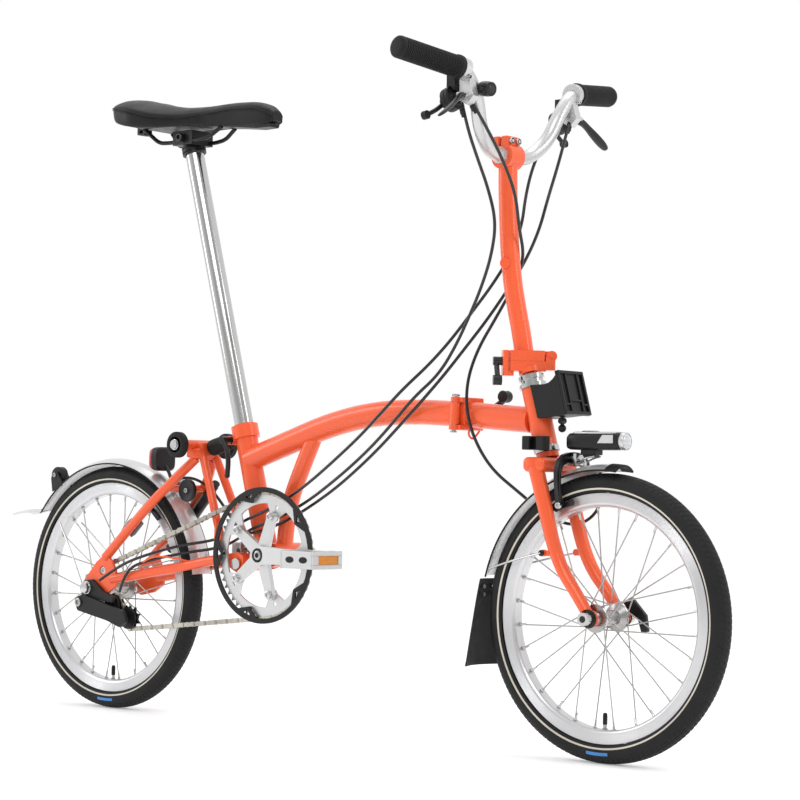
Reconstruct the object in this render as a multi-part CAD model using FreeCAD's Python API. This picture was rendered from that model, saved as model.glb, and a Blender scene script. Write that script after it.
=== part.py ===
"""A folding bicycle on 349 wheels, ready to ride, in millimetres.

+X points forward, +Y to the rider's left and +Z up. The origin is on the ground, midway between
the two ends of the bicycle. Side-view stations are given from the rear axle's vertical line.
"""
import FreeCAD, Part
import math
import os

V = FreeCAD.Vector

# Driving dimensions.
TYRE_R = 17.5
WHEEL_R = 349 / 2 + 2 * TYRE_R
WHEELBASE = 1045
MIDDLE = 501.9
LEAN = math.radians(15.85)
RIM_EDGE_R = 181
RIM_BED_R = 160.5
SPOKES = 28
SPOKE_R = 1.0
FRONT_AXLE_R = 4.5
REAR_AXLE_R = 5.0
TUBE_R = 19.5
SEAT_TUBE_R = 18.5
SEATPOST_R = 15.9
HEAD_TUBE_R = 18.0
STEERER_R = 12.7
STEM_R = 14.5
BAR_R = 11.1
GRIP_R = 16.5
RUNNING = 0.05
SLIDING = 0.08

# Places in the side view, from the rear axle's vertical line and from the ground.
REAR_AXLE = (0, 0, WHEEL_R)
FRONT_AXLE = (WHEELBASE, 0, WHEEL_R)
CRANK_AXLE = (402, 0, 278.5)
SEAT_TUBE_FOOT = (335.9, 383.0)
HEAD_TUBE_FOOT = (930.7, 456.2)
HINGE_X = 778
HINGE_PIN = (HINGE_X, -28, 506)
HINGE_TILT = math.radians(5)

# Drive train.
CRANK_LENGTH = 170
CHAIN_PITCH = 12.7
RING_TEETH = 50
SPROCKET_TEETH = 13
JOCKEY_TEETH = 9
CHAIN_Y = -45
UPPER_JOCKEY = (50, 0, 180)
LOWER_JOCKEY = (91, 0, 161)
PEDAL_Y = (81, 153)
BOLT_CIRCLE_R = 66

# Cables.
CABLE_R = 2.5


def at(x, y, z):
    """A point given from the rear axle's vertical line."""
    return V(x - MIDDLE, y, z)


def seat_axis(z, y=0):
    foot_x, foot_z = SEAT_TUBE_FOOT
    return at(foot_x + (foot_z - z) * math.tan(LEAN), y, z)


def head_axis(z, y=0):
    foot_x, foot_z = HEAD_TUBE_FOOT
    return at(foot_x + (foot_z - z) * math.tan(LEAN), y, z)


LEAN_UP = V(-math.sin(LEAN), 0, math.cos(LEAN))
HINGE_UP = V(0, math.sin(HINGE_TILT), math.cos(HINGE_TILT))
FOLD_OUT = V(math.sqrt(0.5), math.sqrt(0.5), 0)
FOLD_AXIS = V(-math.sqrt(0.5), math.sqrt(0.5), 0)
ACROSS = V(0, 1, 0)


def rod(start, end, radius):
    run = end - start
    return Part.makeCylinder(radius, run.Length, start, run)


def pipe(start, end, outer, inner):
    return rod(start, end, outer).cut(rod(start, end, inner))


def ball(centre, radius):
    return Part.makeSphere(radius, centre)


def block(low, high):
    size = high - low
    return Part.makeBox(size.x, size.y, size.z, low)


def soft_block(low, high, radius):
    body = block(low, high)
    return body.makeFillet(radius, body.Edges)


def fuse(shapes):
    shapes = list(shapes)
    return shapes[0].multiFuse(shapes[1:]).removeSplitter()


def turned(centre, profile):
    """Revolve a closed outline of (radius, side) points about an axle through the centre."""
    points = [centre + V(radius, side, 0) for radius, side in profile]
    face = Part.Face(Part.makePolygon(points + points[:1]))
    return face.revolve(centre, ACROSS, 360)


def group(shapes):
    """Several solids in one node."""
    return Part.makeCompound([solid for shape in shapes for solid in shape.Solids])


def pair(make):
    """The same piece on the right and on the left."""
    return group([make(-1), make(1)])


def ring_of(count, radius, turn=0):
    """Directions and spots evenly round the crank axle: (outward, sideways, spot) for each."""
    centre = at(*CRANK_AXLE)
    for i in range(count):
        angle = 2 * math.pi * (i + turn) / count
        out = V(math.cos(angle), 0, math.sin(angle))
        side = V(-math.sin(angle), 0, math.cos(angle))
        yield out, side, centre + out * radius


def slab(outline, y_low, y_high, radius=0):
    """A plate cut to a side-view outline of (x, z) points, between two widths."""
    wire = rounded([at(x, y_low, z) for x, z in outline], radius)
    return Part.Face(wire).extrude(V(0, y_high - y_low, 0))


def rounded(points, radius):
    """A closed outline with every corner rounded to the same radius."""
    if not radius:
        return Part.makePolygon(points + points[:1])
    edges = []
    ends = []
    count = len(points)
    for i, corner in enumerate(points):
        back = (points[i - 1] - corner).normalize()
        ahead = (points[(i + 1) % count] - corner).normalize()
        half = back.getAngle(ahead) / 2
        reach = radius / math.tan(half)
        room = 0.49 * min((points[i - 1] - corner).Length, (points[(i + 1) % count] - corner).Length)
        reach = min(reach, room)
        size = reach * math.tan(half)
        first = corner + back * reach
        last = corner + ahead * reach
        bisector = (back + ahead).normalize()
        middle = corner + bisector * (size / math.sin(half) - size)
        ends.append((first, last))
        edges.append(Part.Arc(first, middle, last).toShape())
    for i in range(count):
        edges.append(Part.makeLine(ends[i - 1][1], ends[i][0]))
    return Part.Wire(Part.__sortEdges__(edges))


def route(points, share=0.45):
    """Straight runs joined by tangent arcs, each as large as its two runs allow."""
    edges = []
    radii = []
    start = points[0]
    for i in range(1, len(points) - 1):
        corner = points[i]
        back = points[i - 1] - corner
        ahead = points[i + 1] - corner
        shorter = min(back.Length, ahead.Length)
        back.normalize()
        ahead.normalize()
        half_turn = (math.pi - back.getAngle(ahead)) / 2
        reach = share * shorter
        radius = reach / math.tan(half_turn)
        first = corner + back * reach
        last = corner + ahead * reach
        inward = (back + ahead).normalize()
        middle = corner + inward * (radius / math.cos(half_turn) - radius)
        edges.append(Part.makeLine(start, first))
        edges.append(Part.Arc(first, middle, last).toShape())
        radii.append(radius)
        start = last
    edges.append(Part.makeLine(start, points[-1]))
    return Part.Wire(edges), radii


def disc_at(centre, direction, radius):
    return Part.Wire(Part.Circle(centre, direction, radius).toShape())


def bent(points, radius, end_radius=None):
    """A round bar along a route, tapering when an end radius is given."""
    path, _ = route(points)
    sections = [disc_at(points[0], points[1] - points[0], radius)]
    if end_radius:
        sections.append(disc_at(points[-1], points[-1] - points[-2], end_radius))
    maker = Part.BRepOffsetAPI.MakePipeShell(path)
    for section in sections:
        maker.add(section)
    maker.build()
    maker.makeSolid()
    return maker.shape()


def cord(name, points, radius):
    """A cable's solid, with its bend radii and its volume against section times length."""
    path, radii = route(points)
    solid = bent(points, radius)
    share = solid.Volume / (math.pi * radius ** 2 * path.Length)
    print(name, "length", round(path.Length), "radii", [round(r) for r in radii], "volume", round(share, 4))
    return solid


def save(name, shape):
    os.makedirs("parts", exist_ok=True)
    if not shape.isValid():
        print("INVALID", name)
    shape.exportStep("parts/" + name + ".step")


# Wheels


def tyre(centre):
    bead = RIM_EDGE_R + 0.3
    middle_r = WHEEL_R - TYRE_R
    shoulder = math.sqrt(TYRE_R ** 2 - (middle_r - bead) ** 2)
    outside = Part.Arc(
        centre + V(bead, -shoulder, 0), centre + V(WHEEL_R, 0, 0), centre + V(bead, shoulder, 0)
    ).toShape()
    inner_r = TYRE_R - 3.5
    inner_side = math.sqrt(inner_r ** 2 - (middle_r - bead) ** 2)
    inside = Part.Arc(
        centre + V(bead, -inner_side, 0), centre + V(WHEEL_R - 3.5, 0, 0), centre + V(bead, inner_side, 0)
    ).toShape()
    right = Part.makeLine(centre + V(bead, -shoulder, 0), centre + V(bead, -inner_side, 0))
    left = Part.makeLine(centre + V(bead, shoulder, 0), centre + V(bead, inner_side, 0))
    wire = Part.Wire(Part.__sortEdges__([outside, right, inside, left]))
    return Part.Face(wire).revolve(centre, ACROSS, 360)


def rim(centre):
    edge = RIM_EDGE_R
    half = [(RIM_BED_R, 5), (162, 10), (165, 12.3), (edge, 12.3), (edge, 10.8), (177, 10.8), (175, 6)]
    other = [(radius, -side) for radius, side in reversed(half)]
    return turned(centre, half + other)


def valve(centre):
    """The tube's valve, which points from the rim's lowest place towards the hub."""
    return rod(centre - V(0, 0, RIM_BED_R - 24), centre - V(0, 0, RIM_BED_R - 0.1), 3)


def spokes(centre, flange_y, flange_r):
    """Crossed spokes, half of them on each flange, alternating inside and outside."""
    parts = []
    per_side = SPOKES // 2
    for side in (-1, 1):
        for i in range(per_side):
            lead = 1 if i % 2 else -1
            rim_angle = 2 * math.pi * (i + 0.25 * side) / per_side
            hub_angle = rim_angle + lead * math.radians(58)
            hub_side = side * (flange_y + 1.8 * lead)
            rim_side = side * (1.6 + 1.1 * lead)
            hub_end = centre + V(flange_r * math.cos(hub_angle), hub_side, flange_r * math.sin(hub_angle))
            rim_r = RIM_BED_R - 0.4
            rim_end = centre + V(rim_r * math.cos(rim_angle), rim_side, rim_r * math.sin(rim_angle))
            parts.append(rod(hub_end, rim_end, SPOKE_R))
    return parts


def hub(centre, half_width, flange_y, flange_r, barrel_r, bore_r):
    profile = [
        (bore_r, -half_width),
        (9, -half_width),
        (9, -flange_y - 4),
        (flange_r, -flange_y - 3),
        (flange_r, -flange_y + 3),
        (barrel_r, -flange_y + 8),
    ]
    other = [(radius, -side) for radius, side in reversed(profile)]
    return turned(centre, profile + other)


def mudguard(centre, start_deg, end_deg, half_width, radius):
    """A thin arched band round the wheel."""
    drop = 9
    edge = centre + V(radius - drop, 0, 0)
    outer_right = edge - ACROSS * half_width
    outer_left = edge + ACROSS * half_width
    inner_right = edge - ACROSS * (half_width - 1.5)
    inner_left = edge + ACROSS * (half_width - 1.5)
    edges = [
        Part.Arc(outer_right, centre + V(radius, 0, 0), outer_left).toShape(),
        Part.makeLine(outer_left, inner_left),
        Part.Arc(inner_left, centre + V(radius - 1.6, 0, 0), inner_right).toShape(),
        Part.makeLine(inner_right, outer_right),
    ]
    face = Part.Face(Part.Wire(edges))
    face.rotate(centre, V(0, -1, 0), start_deg)
    return face.revolve(centre, V(0, -1, 0), end_deg - start_deg)


# Main frame and its hinge


def hinge_point(height):
    return at(*HINGE_PIN) + HINGE_UP * height


def main_frame():
    top = bent(
        [at(322, 0, 433), at(361, 0, 446), at(418, 0, 464.5), at(488, 0, 487), at(556, 0, 502), at(623,
            0, 509.5),
         at(690, 0, 510), at(768, 0, 506)],
        TUBE_R,
    )
    seat_tube = rod(seat_axis(490.6), seat_axis(256), SEAT_TUBE_R)
    strut = bent([at(466, 0, 474), at(441, 0, 425), at(417, 0, 375), at(406, 0, 325), at(402, 0, 282)],
        13.5)
    shell = rod(at(402, -34, 278.5), at(402, 34, 278.5), 20)
    pivot = rod(at(331, -19.5, 262), at(331, 19.5, 262), 12)
    bridge = block(at(331, -10, 254), at(366, 10, 272))
    plate = soft_block(at(765, -20, 481), at(HINGE_X - 0.1, 27, 531), 2)
    body = fuse([top, seat_tube, strut, shell, pivot, bridge, plate])
    body = body.cut(rod(hinge_point(16.8), hinge_point(28), 9))
    body = body.cut(rod(hinge_point(-28), hinge_point(-16.8), 9))
    link = block(at(767, -28, 490), at(HINGE_X - 0.2, -18, 522))
    barrel = rod(hinge_point(-16.5), hinge_point(16.5), 7.5)
    body = fuse([body, link, barrel])
    body = body.cut(rod(hinge_point(-30), hinge_point(30), 4 + RUNNING))
    body = body.cut(rod(seat_axis(520), seat_axis(240), SEATPOST_R + SLIDING))
    body = body.cut(rod(at(402, -40, 278.5), at(402, 40, 278.5), 17))
    return body.cut(rod(at(331, -40, 262), at(331, 40, 262), 5 + RUNNING))


def front_frame():
    tube = bent([at(789, 0, 505), at(840, 0, 500.8), at(905, 0, 496.5)], TUBE_R)
    head = rod(head_axis(544), head_axis(456.2), HEAD_TUBE_R)
    plate = soft_block(at(HINGE_X + 0.1, -20, 481), at(791, 27, 531), 2)
    body = fuse([tube, head, plate])
    body = body.cut(rod(hinge_point(-16.8), hinge_point(16.8), 8))
    ears = []
    for low, high in ((17.2, 25), (-25, -17.2)):
        ears.append(rod(hinge_point(low), hinge_point(high), 7.5))
        middle = hinge_point((low + high) / 2)
        ears.append(block(middle + V(0.2, 0, -3.5), middle + V(13, 12, 3.5)))
    body = fuse([body] + ears)
    body = body.cut(rod(hinge_point(-30), hinge_point(30), 4 + RUNNING))
    body = body.cut(rod(head_axis(560), head_axis(440), 13.5))
    loop = bent([at(800, -14, 490), at(801, -24, 474), at(803, -14, 466), at(806, -2, 480)], 1.6)
    return fuse([body, loop])


def hinge_pin():
    pin = rod(hinge_point(-27), hinge_point(27), 4)
    head = rod(hinge_point(27), hinge_point(29), 6)
    return fuse([pin, head])


def main_clamp_plate():
    """The clamp that holds the two hinge plates together on the left side.

    Its rear jaw hooks over the fixed plate. Its front end stays flat, so the front frame can swing away.
    """
    outer = slab([(758, 494), (795, 494), (795, 518), (758, 518)], 29, 39, 3)
    jaw = block(at(757.9, 20.5, 497), at(764.3, 31, 515))
    pads = [block(at(769, 27.4, 498), at(776, 29.5, 514)), block(at(780, 27.4, 498), at(787, 29.5, 514))]
    return fuse([outer, jaw] + pads)


def main_clamp_lever():
    stud = rod(at(HINGE_X, 39.2, 506), at(HINGE_X, 51, 506), 7)
    arm = bent([at(HINGE_X, 45, 506), at(800, 46, 520), at(822, 46, 533)], 4.5)
    knob = rod(at(818, 37, 534), at(818, 52, 534), 8)
    return fuse([stud, arm, knob])


def bottom_bracket():
    cups = []
    for side in (-1, 1):
        cups.append(pipe(at(402, side * 20, 278.5), at(402, side * 37, 278.5), 16.95, 9))
    return fuse(cups + [pipe(at(402, -20, 278.5), at(402, 20, 278.5), 14, 9)])


def rear_hinge_pin():
    pin = rod(at(331, -38, 262), at(331, 38, 262), 5)
    caps = [rod(at(331, side * 38, 262), at(331, side * 41, 262), 9) for side in (-1, 1)]
    return fuse([pin] + caps)


def cable_pulley():
    """The small pulley that turns the gear and brake cables towards the rear frame."""
    wheel = turned(at(331, -15, 290), [(3, -5), (11, -5), (8, 0), (11, 5), (3, 5)])
    bolt = rod(at(331, -22, 290), at(331, 0, 290), 2.9)
    head = rod(at(331, -24, 290), at(331, -22, 290), 5)
    return fuse([wheel, bolt, head])


# Seat


def seat_clamp():
    ring = rod(seat_axis(489), seat_axis(468), 22.5)
    ears = block(at(276, -9, 457), at(312, 9, 472))
    body = fuse([ring, ears]).cut(rod(seat_axis(520), seat_axis(430), SEAT_TUBE_R + 0.02))
    body = body.cut(block(at(270, -2, 440), at(298, 2, 500)))
    body = body.cut(rod(at(283, -20, 464.5), at(283, 20, 464.5), 3 + RUNNING))
    return body


def seat_lever():
    bolt = rod(at(283, -24, 464.5), at(283, 14, 464.5), 3)
    hub_piece = rod(at(283, -31, 464.5), at(283, -9.4, 464.5), 6.5)
    arm = bent([at(285, -28, 464), at(294, -28, 450), at(298, -28, 430), at(296, -28, 406)], 4.2)
    tip = ball(at(296, -28, 406), 4.6)
    return fuse([bolt, hub_piece, arm, tip])


def seatpost():
    tube = rod(seat_axis(950.8), seat_axis(402), SEATPOST_R)
    return tube.cut(rod(seat_axis(940), seat_axis(380), SEATPOST_R - 1.8))


def saddle_clamp():
    collar = rod(seat_axis(951), seat_axis(966), 19)
    ridge = rod(seat_axis(955), seat_axis(959), 20.5)
    neck = rod(seat_axis(966), seat_axis(985), 12)
    cheeks = block(at(146, -25, 966), at(192, 25, 990))
    bolt = rod(at(168, -29, 978), at(168, 29, 978), 4.5)
    return fuse([collar, ridge, neck, cheeks, bolt])


def saddle_rails():
    parts = []
    for side in (-1, 1):
        points = [
            at(84, side * 33, 998),
            at(97, side * 30, 987),
            at(112, side * 24, 973),
            at(134, side * 21.5, 972),
            at(168, side * 21.5, 972.01),
            at(204, side * 21.5, 972),
            at(228, side * 20, 975),
            at(254, side * 16, 991),
        ]
        parts.append(bent(points, 3.5))
    return parts


def saddle_section(x, half_width, top, bottom, rim_drop):
    """One cross-section of the seat: a domed top over straight skirts."""
    shoulder = top - rim_drop
    right = at(x, -half_width, shoulder)
    left = at(x, half_width, shoulder)
    low_right = at(x, -half_width * 0.93, bottom)
    low_left = at(x, half_width * 0.93, bottom)
    edges = [
        Part.Arc(right, at(x, 0, top), left).toShape(),
        Part.makeLine(left, low_left),
        Part.makeLine(low_left, low_right),
        Part.makeLine(low_right, right),
    ]
    return Part.Wire(edges)


SADDLE_STATIONS = (
    # x, half width, top, bottom, drop of the shoulder below the top
    (27, 52, 1049, 1027, 10),
    (48, 74, 1056, 1012, 20),
    (85, 77, 1051, 1004, 24),
    (125, 66, 1040, 1002, 24),
    (170, 45, 1031, 1003, 20),
    (220, 30, 1029, 1000, 14),
    (280, 23, 1031, 994, 11),
    (330, 20, 1028, 988, 10),
    (360, 16, 1018, 988, 9),
    (371, 11, 1008, 992, 6),
)


def saddle_cover():
    wires = [saddle_section(*station) for station in SADDLE_STATIONS]
    return Part.makeLoft(wires, True, False)


def saddle_shell():
    """The stiff base under the cover, with sockets for the rails."""
    wires = []
    for x, half_width, top, bottom, drop in SADDLE_STATIONS[1:9]:
        low = bottom - 6
        width = half_width * 0.84
        foot = width * 0.8
        points = [at(x, -width, bottom - 0.2), at(x, width, bottom - 0.2), at(x, foot, low), at(x, -foot,
            low)]
        wires.append(Part.makePolygon(points + points[:1]))
    base = Part.makeLoft(wires, True, True)
    keep = Part.makeLoft([saddle_section(*s) for s in SADDLE_STATIONS], True, False)
    base = base.cut(keep)
    loop = slab([(40, 995), (58, 993), (58, 1008), (40, 1008)], -9, 9, 2)
    loop = loop.cut(slab([(45, 998), (54, 997), (54, 1003), (45, 1003)], -12, 12, 1))
    return fuse([base, loop])


# Steering


def fork():
    steerer = rod(head_axis(441), head_axis(565), STEERER_R)
    crown = soft_block(at(920, -46, 419), at(958, 46, 441), 8)
    race = rod(head_axis(440), head_axis(447.5), 17)
    parts = [steerer, crown, race]
    for side in (-1, 1):
        blade = [
            at(938, side * 36, 432),
            at(957, side * 36, 370),
            at(974, side * 36, 313),
            at(992, side * 37, 276),
            at(1020, side * 39, 243),
            at(1045, side * 40.2, 209.5),
        ]
        parts.append(bent(blade, 12, 8.5))
        parts.append(rod(at(938, side * 36, 428), at(936, side * 36, 437), 13))
        parts.append(rod(at(1045, side * 37.2, 209.5), at(1045, side * 43.2, 209.5), 12.5))
        parts.append(rod(at(960, side * 38, 301), at(960, side * 45, 301), 5))
        parts.append(block(at(959, side * 40 - 3, 297), at(976, side * 40 + 3, 305)))
    body = fuse(parts)
    body = body.cut(rod(at(1045, -37.1, 209.5), at(1045, 37.1, 209.5), 22))
    for side in (-1, 1):
        body = body.cut(rod(at(1045, side * 43.3, 209.5), at(1045, side * 60, 209.5), 14))
    body = body.cut(rod(at(1045, -60, 209.5), at(1045, 60, 209.5), FRONT_AXLE_R + RUNNING))
    return body.cut(rod(at(900, 0, 432), at(990, 0, 432), 3.1))


def headset():
    parts = []
    for low, high, radius in ((544.2, 550, 20.5), (550, 556, 17), (556, 562, 19.5)):
        parts.append(pipe(head_axis(low), head_axis(high), radius, 13.3))
    lower = pipe(head_axis(448), head_axis(456), 19.5, 13.3)
    return Part.makeCompound([fuse(parts), lower])


def stem_local(out, side, z):
    """A point of the stem hinge: distance towards the fold side, distance along the pin, height."""
    centre = head_axis(585)
    return V(centre.x, 0, 0) + FOLD_OUT * out + FOLD_AXIS * side + V(0, 0, z)


def stem_block(out_low, out_high, side_low, side_high, z_low, z_high):
    corners = [(out_low, side_low), (out_high, side_low), (out_high, side_high), (out_low, side_high)]
    points = [stem_local(o, s, z_low) for o, s in corners]
    return Part.Face(rounded(points, 3)).extrude(V(0, 0, z_high - z_low))


STEM_PIN_OUT = 34
STEM_PIN_Z = 592
STEM_SPLIT_Z = 584


def stem_base():
    collar = rod(head_axis(566.2), head_axis(574), 17)
    body = stem_block(-28, 26, -16, 16, 569, STEM_SPLIT_Z - 0.1)
    web = stem_block(20, STEM_PIN_OUT + 6, -16, 16, 571, STEM_PIN_Z - 2)
    knuckle = rod(stem_local(STEM_PIN_OUT, -16, STEM_PIN_Z), stem_local(STEM_PIN_OUT, 16, STEM_PIN_Z), 8)
    body = fuse([collar, body, web, knuckle])
    body = body.cut(stem_block(-40, STEM_PIN_OUT - 9, -30, 30, STEM_SPLIT_Z - 0.1, 620))
    gap_start = stem_local(STEM_PIN_OUT, -8.3, STEM_PIN_Z)
    body = body.cut(rod(gap_start, stem_local(STEM_PIN_OUT, 8.3, STEM_PIN_Z), 11.9))
    pin = rod(stem_local(STEM_PIN_OUT, -17.5, STEM_PIN_Z), stem_local(STEM_PIN_OUT, 17.5, STEM_PIN_Z), 3.5)
    return fuse([body, pin])


def stem():
    casting = stem_block(-28, 24, -16, 16, STEM_SPLIT_Z + 0.1, 600)
    web = stem_block(10, STEM_PIN_OUT, -8, 8, STEM_SPLIT_Z + 0.3, 599.5)
    knuckle = rod(stem_local(STEM_PIN_OUT, -8, STEM_PIN_Z), stem_local(STEM_PIN_OUT, 8, STEM_PIN_Z), 8)
    line = [(888, 592), (881, 628), (873, 660), (864.5, 697), (857.5, 745), (853.5, 800), (851, 850),
        (850.8, 884)]
    column = bent([at(x, 0, z) for x, z in line], STEM_R)
    body = fuse([casting, column])
    for side in (-1, 1):
        middle = side * 19.2
        near = stem_local(STEM_PIN_OUT, middle - 11, STEM_PIN_Z)
        far = stem_local(STEM_PIN_OUT, middle + 11, STEM_PIN_Z)
        body = body.cut(rod(near, far, 8.6))
    clamp = rod(at(850.8, -16, 895), at(850.8, 16, 895), 20)
    ears = [soft_block(at(x, -16, 905), at(x + 12, 16, 925), 2) for x in (833, 849)]
    body = fuse([body, web, knuckle, clamp] + ears)
    body = body.cut(rod(at(850.8, -30, 895), at(850.8, 30, 895), 12.75))
    body = body.cut(block(at(844.9, -20, 895), at(849.1, 20, 930)))
    for side in (-8, 8):
        body = body.cut(rod(at(820, side, 917.5), at(870, side, 917.5), 2.6))
    catch = rod(at(860, -13, 732), at(862, -18, 732), 8)
    body = fuse([body, catch])
    bore_start = stem_local(STEM_PIN_OUT, -30, STEM_PIN_Z)
    return body.cut(rod(bore_start, stem_local(STEM_PIN_OUT, 30, STEM_PIN_Z), 3.5 + RUNNING))


def bar_bolts():
    """The two bolts that pinch the handlebar, each with its head in front."""
    bolts = []
    for side in (-8, 8):
        shank = rod(at(829, side, 917.5), at(862, side, 917.5), 2.5)
        head = rod(at(861.2, side, 917.5), at(866, side, 917.5), 4.5)
        bolts.append(fuse([shank, head]))
    return bolts


def stem_clamp_plate():
    """The clamp of the stem hinge: its lower jaw hooks under the base and its upper half is flat."""
    plate = stem_block(-38.5, -29.4, -13, 13, 562, 600)
    jaw = stem_block(-36, -22, -12, 12, 562, 568.7)
    return fuse([plate, jaw])


def stem_clamp_lever():
    hub_piece = rod(stem_local(-38.7, 0, 584), stem_local(-52, 0, 584), 6.5)
    arm = bent([stem_local(-47, 0, 584), stem_local(-47, -6, 572), stem_local(-46, -10, 558)], 4)
    knob = rod(stem_local(-40, -10, 555), stem_local(-53, -10, 555), 7.5)
    return fuse([hub_piece, arm, knob])


def bar_tube(radius):
    """The handlebar's bent tube, or the room that it takes in a piece clamped round it."""
    half = [
        (851, 44, 895.5),
        (861, 82, 925),
        (870, 103, 972),
        (871, 132, 1006),
        (849.6, 258, 1022.3),
    ]
    points = [at(x, -y, z) for x, y, z in reversed(half)]
    points += [at(x, y, z) for x, y, z in half]
    return bent(points, radius)


def handlebar():
    sleeve = rod(at(850.8, -24, 895), at(850.8, 24, 895), 12.7)
    return fuse([bar_tube(BAR_R), sleeve])


def bar_end(side, along):
    """A point on the straight outer part of the handlebar, measured from its tip."""
    tip = at(849.6, side * 258, 1022.3)
    bend = at(871, side * 132, 1006)
    run = (bend - tip).normalize()
    return tip + run * along


def grips():
    parts = []
    for side in (-1, 1):
        body = rod(bar_end(side, -4), bar_end(side, 116), GRIP_R)
        flange = rod(bar_end(side, 110), bar_end(side, 118), GRIP_R + 1.5)
        body = fuse([body, flange])
        body = body.cut(rod(bar_end(side, -0.05), bar_end(side, 100), BAR_R + 0.02))
        parts.append(body.cut(bar_tube(BAR_R + 0.02)))
    return group(parts)


def brake_bracket(side):
    ring = pipe(bar_end(side, 119), bar_end(side, 130), 15.5, BAR_R + 0.05)
    body = slab([(864, 998), (878, 998), (888, 966), (876, 954), (862, 962)], side * 127 - 6,
        side * 127 + 6, 3)
    body = body.cut(rod(bar_end(side, 100), bar_end(side, 140), BAR_R + 0.05))
    return fuse([ring, body])


def lever_pivot(side):
    return at(876, side * 141, 966)


LEVER_AXIS = V(0.958, 0, 0.285)


def brake_lever(side):
    hub_piece = rod(lever_pivot(side) - LEVER_AXIS * 6, lever_pivot(side) + LEVER_AXIS * 6, 7)
    arm = bent([lever_pivot(side), at(880, side * 158, 958), at(884, side * 182, 942), at(885,
        side * 204, 929)], 4.2)
    tip = ball(at(885, side * 205, 928), 6)
    return fuse([hub_piece, arm, tip]).cut(
        rod(lever_pivot(side) - LEVER_AXIS * 9, lever_pivot(side) + LEVER_AXIS * 9, 2.5 + RUNNING)
    )


def lever_pin(side):
    pin = rod(lever_pivot(side) - LEVER_AXIS * 11, lever_pivot(side) + LEVER_AXIS * 9, 2.5)
    middle = lever_pivot(side) + V(-11, -side * 8.5, 0)
    lug = block(middle - V(3, 8, 6), middle + V(3, 8, 6))
    return fuse([pin, lug])


SHIFTER_AXIS = V(0.949, 0, 0.316)


def shifter_point(side, forward):
    """A point on the axle of a gear lever, measured forwards from the back of its pod."""
    return at(840, side * 133, 962) + SHIFTER_AXIS * forward


def shifter_body(side):
    """The gear shifter's round pod behind the bar, with the short axle of its lever."""
    pod = rod(shifter_point(side, 0), shifter_point(side, 15), 18)
    neck = block(at(842, side * 133 - 6, 976), at(857, side * 133 + 6, 1000))
    axle = rod(shifter_point(side, -12), shifter_point(side, 1), 3)
    body = fuse([pod, neck, axle])
    return body.cut(rod(bar_end(side, 90), bar_end(side, 150), 15.7))


def shifter_lever(side):
    hub_piece = rod(shifter_point(side, -9), shifter_point(side, -0.5), 8)
    arm = bent([at(834, side * 133, 960), at(831, side * 148, 948), at(829, side * 168, 938)], 3.5)
    paddle = rod(at(825, side * 170, 937), at(833, side * 170, 938), 6.5)
    body = fuse([hub_piece, arm, paddle])
    return body.cut(rod(shifter_point(side, -20), shifter_point(side, 5), 3 + RUNNING))


def bell():
    dome = rod(at(884, -107, 980), at(903, -110, 977), 10.5)
    neck = rod(at(874, -108, 985), at(885, -107, 981), 5)
    return fuse([dome, neck]).cut(bar_tube(BAR_R + 0.02))


# Front fittings


def carrier_block():
    """The moulded block on the head tube that a luggage frame slides down over."""
    side_view = [(915, 548), (952, 548), (966, 567), (972, 567), (989, 506), (983, 503), (962, 501),
        (930, 498)]
    body = slab(side_view, -29, 29, 2)
    face = slab([(966, 568), (974, 568), (992, 505), (984, 503)], -36, 36, 1)
    body = fuse([body, face])
    key = rod(at(960, 0, 545), at(1010, 0, 545), 7)
    slots = [block(at(968, y - 4, 500), at(1000, y + 4, 522)) for y in (-22, 0, 22)]
    slots.append(block(at(968, -4, 520), at(1000, 4, 545)))
    for slot in [key] + slots:
        body = body.cut(slot)
    body = body.cut(rod(head_axis(620), head_axis(400), HEAD_TUBE_R + 0.02))
    body = body.cut(rod(head_axis(541), head_axis(580), 21))
    body = body.cut(block(at(860, -40, 480), at(905, 40, 600)))
    return body.cut(rod(at(960, 0, 490), at(960, 0, 512), 3.2))


def carrier_latch():
    stalk = rod(at(960, 0, 510), at(960, 0, 486), 3)
    ends = [ball(at(960, 0, 484), 6), rod(at(960, -5, 495), at(960, 5, 495), 4.5)]
    return fuse([stalk] + ends)


def cable_clip():
    body = block(at(914, -38, 451.5), at(954, -19, 472))
    body = body.cut(block(at(928, -45, 440), at(940, -28, 480)))
    return body.cut(rod(head_axis(500), head_axis(420), 20.5))


def caliper_bolt():
    """The bolt through the fork crown, and above it the two pivots of the caliper's arms."""
    bolt = rod(at(912, 0, 432), at(1003, 0, 432), 3)
    nut = rod(at(912, 0, 432), at(918, 0, 432), 6)
    bridge = slab([(990, 428), (995, 428), (995, 447), (990, 447)], -12, 12, 1)
    pivots = [rod(at(966, side * 6, 441), at(992, side * 6, 441), 2) for side in (-1, 1)]
    return fuse([bolt, nut, bridge] + pivots)


def front_arm(side):
    """One arm of the front caliper with its pad, turning on its own bolt above the tyre."""
    x = 976 if side < 0 else 984
    points = [at(x, side * 6, 441), at(x, side * 26, 436), at(x + 1, side * 31, 410), at(978, side * 27,
        376)]
    arm = bent(points, 3.6)
    hub_piece = rod(at(x - 3.8, side * 6, 441), at(x + 3.8, side * 6, 441), 6.5)
    pad = bent([at(963, side * 17, 363.5), at(978, side * 17, 370.6), at(992, side * 17, 375.8)], 3.4)
    post = rod(at(978, side * 15, 371), at(978, side * 30, 376), 3.2)
    return fuse([arm, hub_piece, pad, post]).cut(rod(at(960, side * 6, 441), at(1000, side * 6, 441), 2.05))


def front_mudguard():
    return mudguard(at(*FRONT_AXLE), 84, 166, 22.5, 223)


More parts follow.
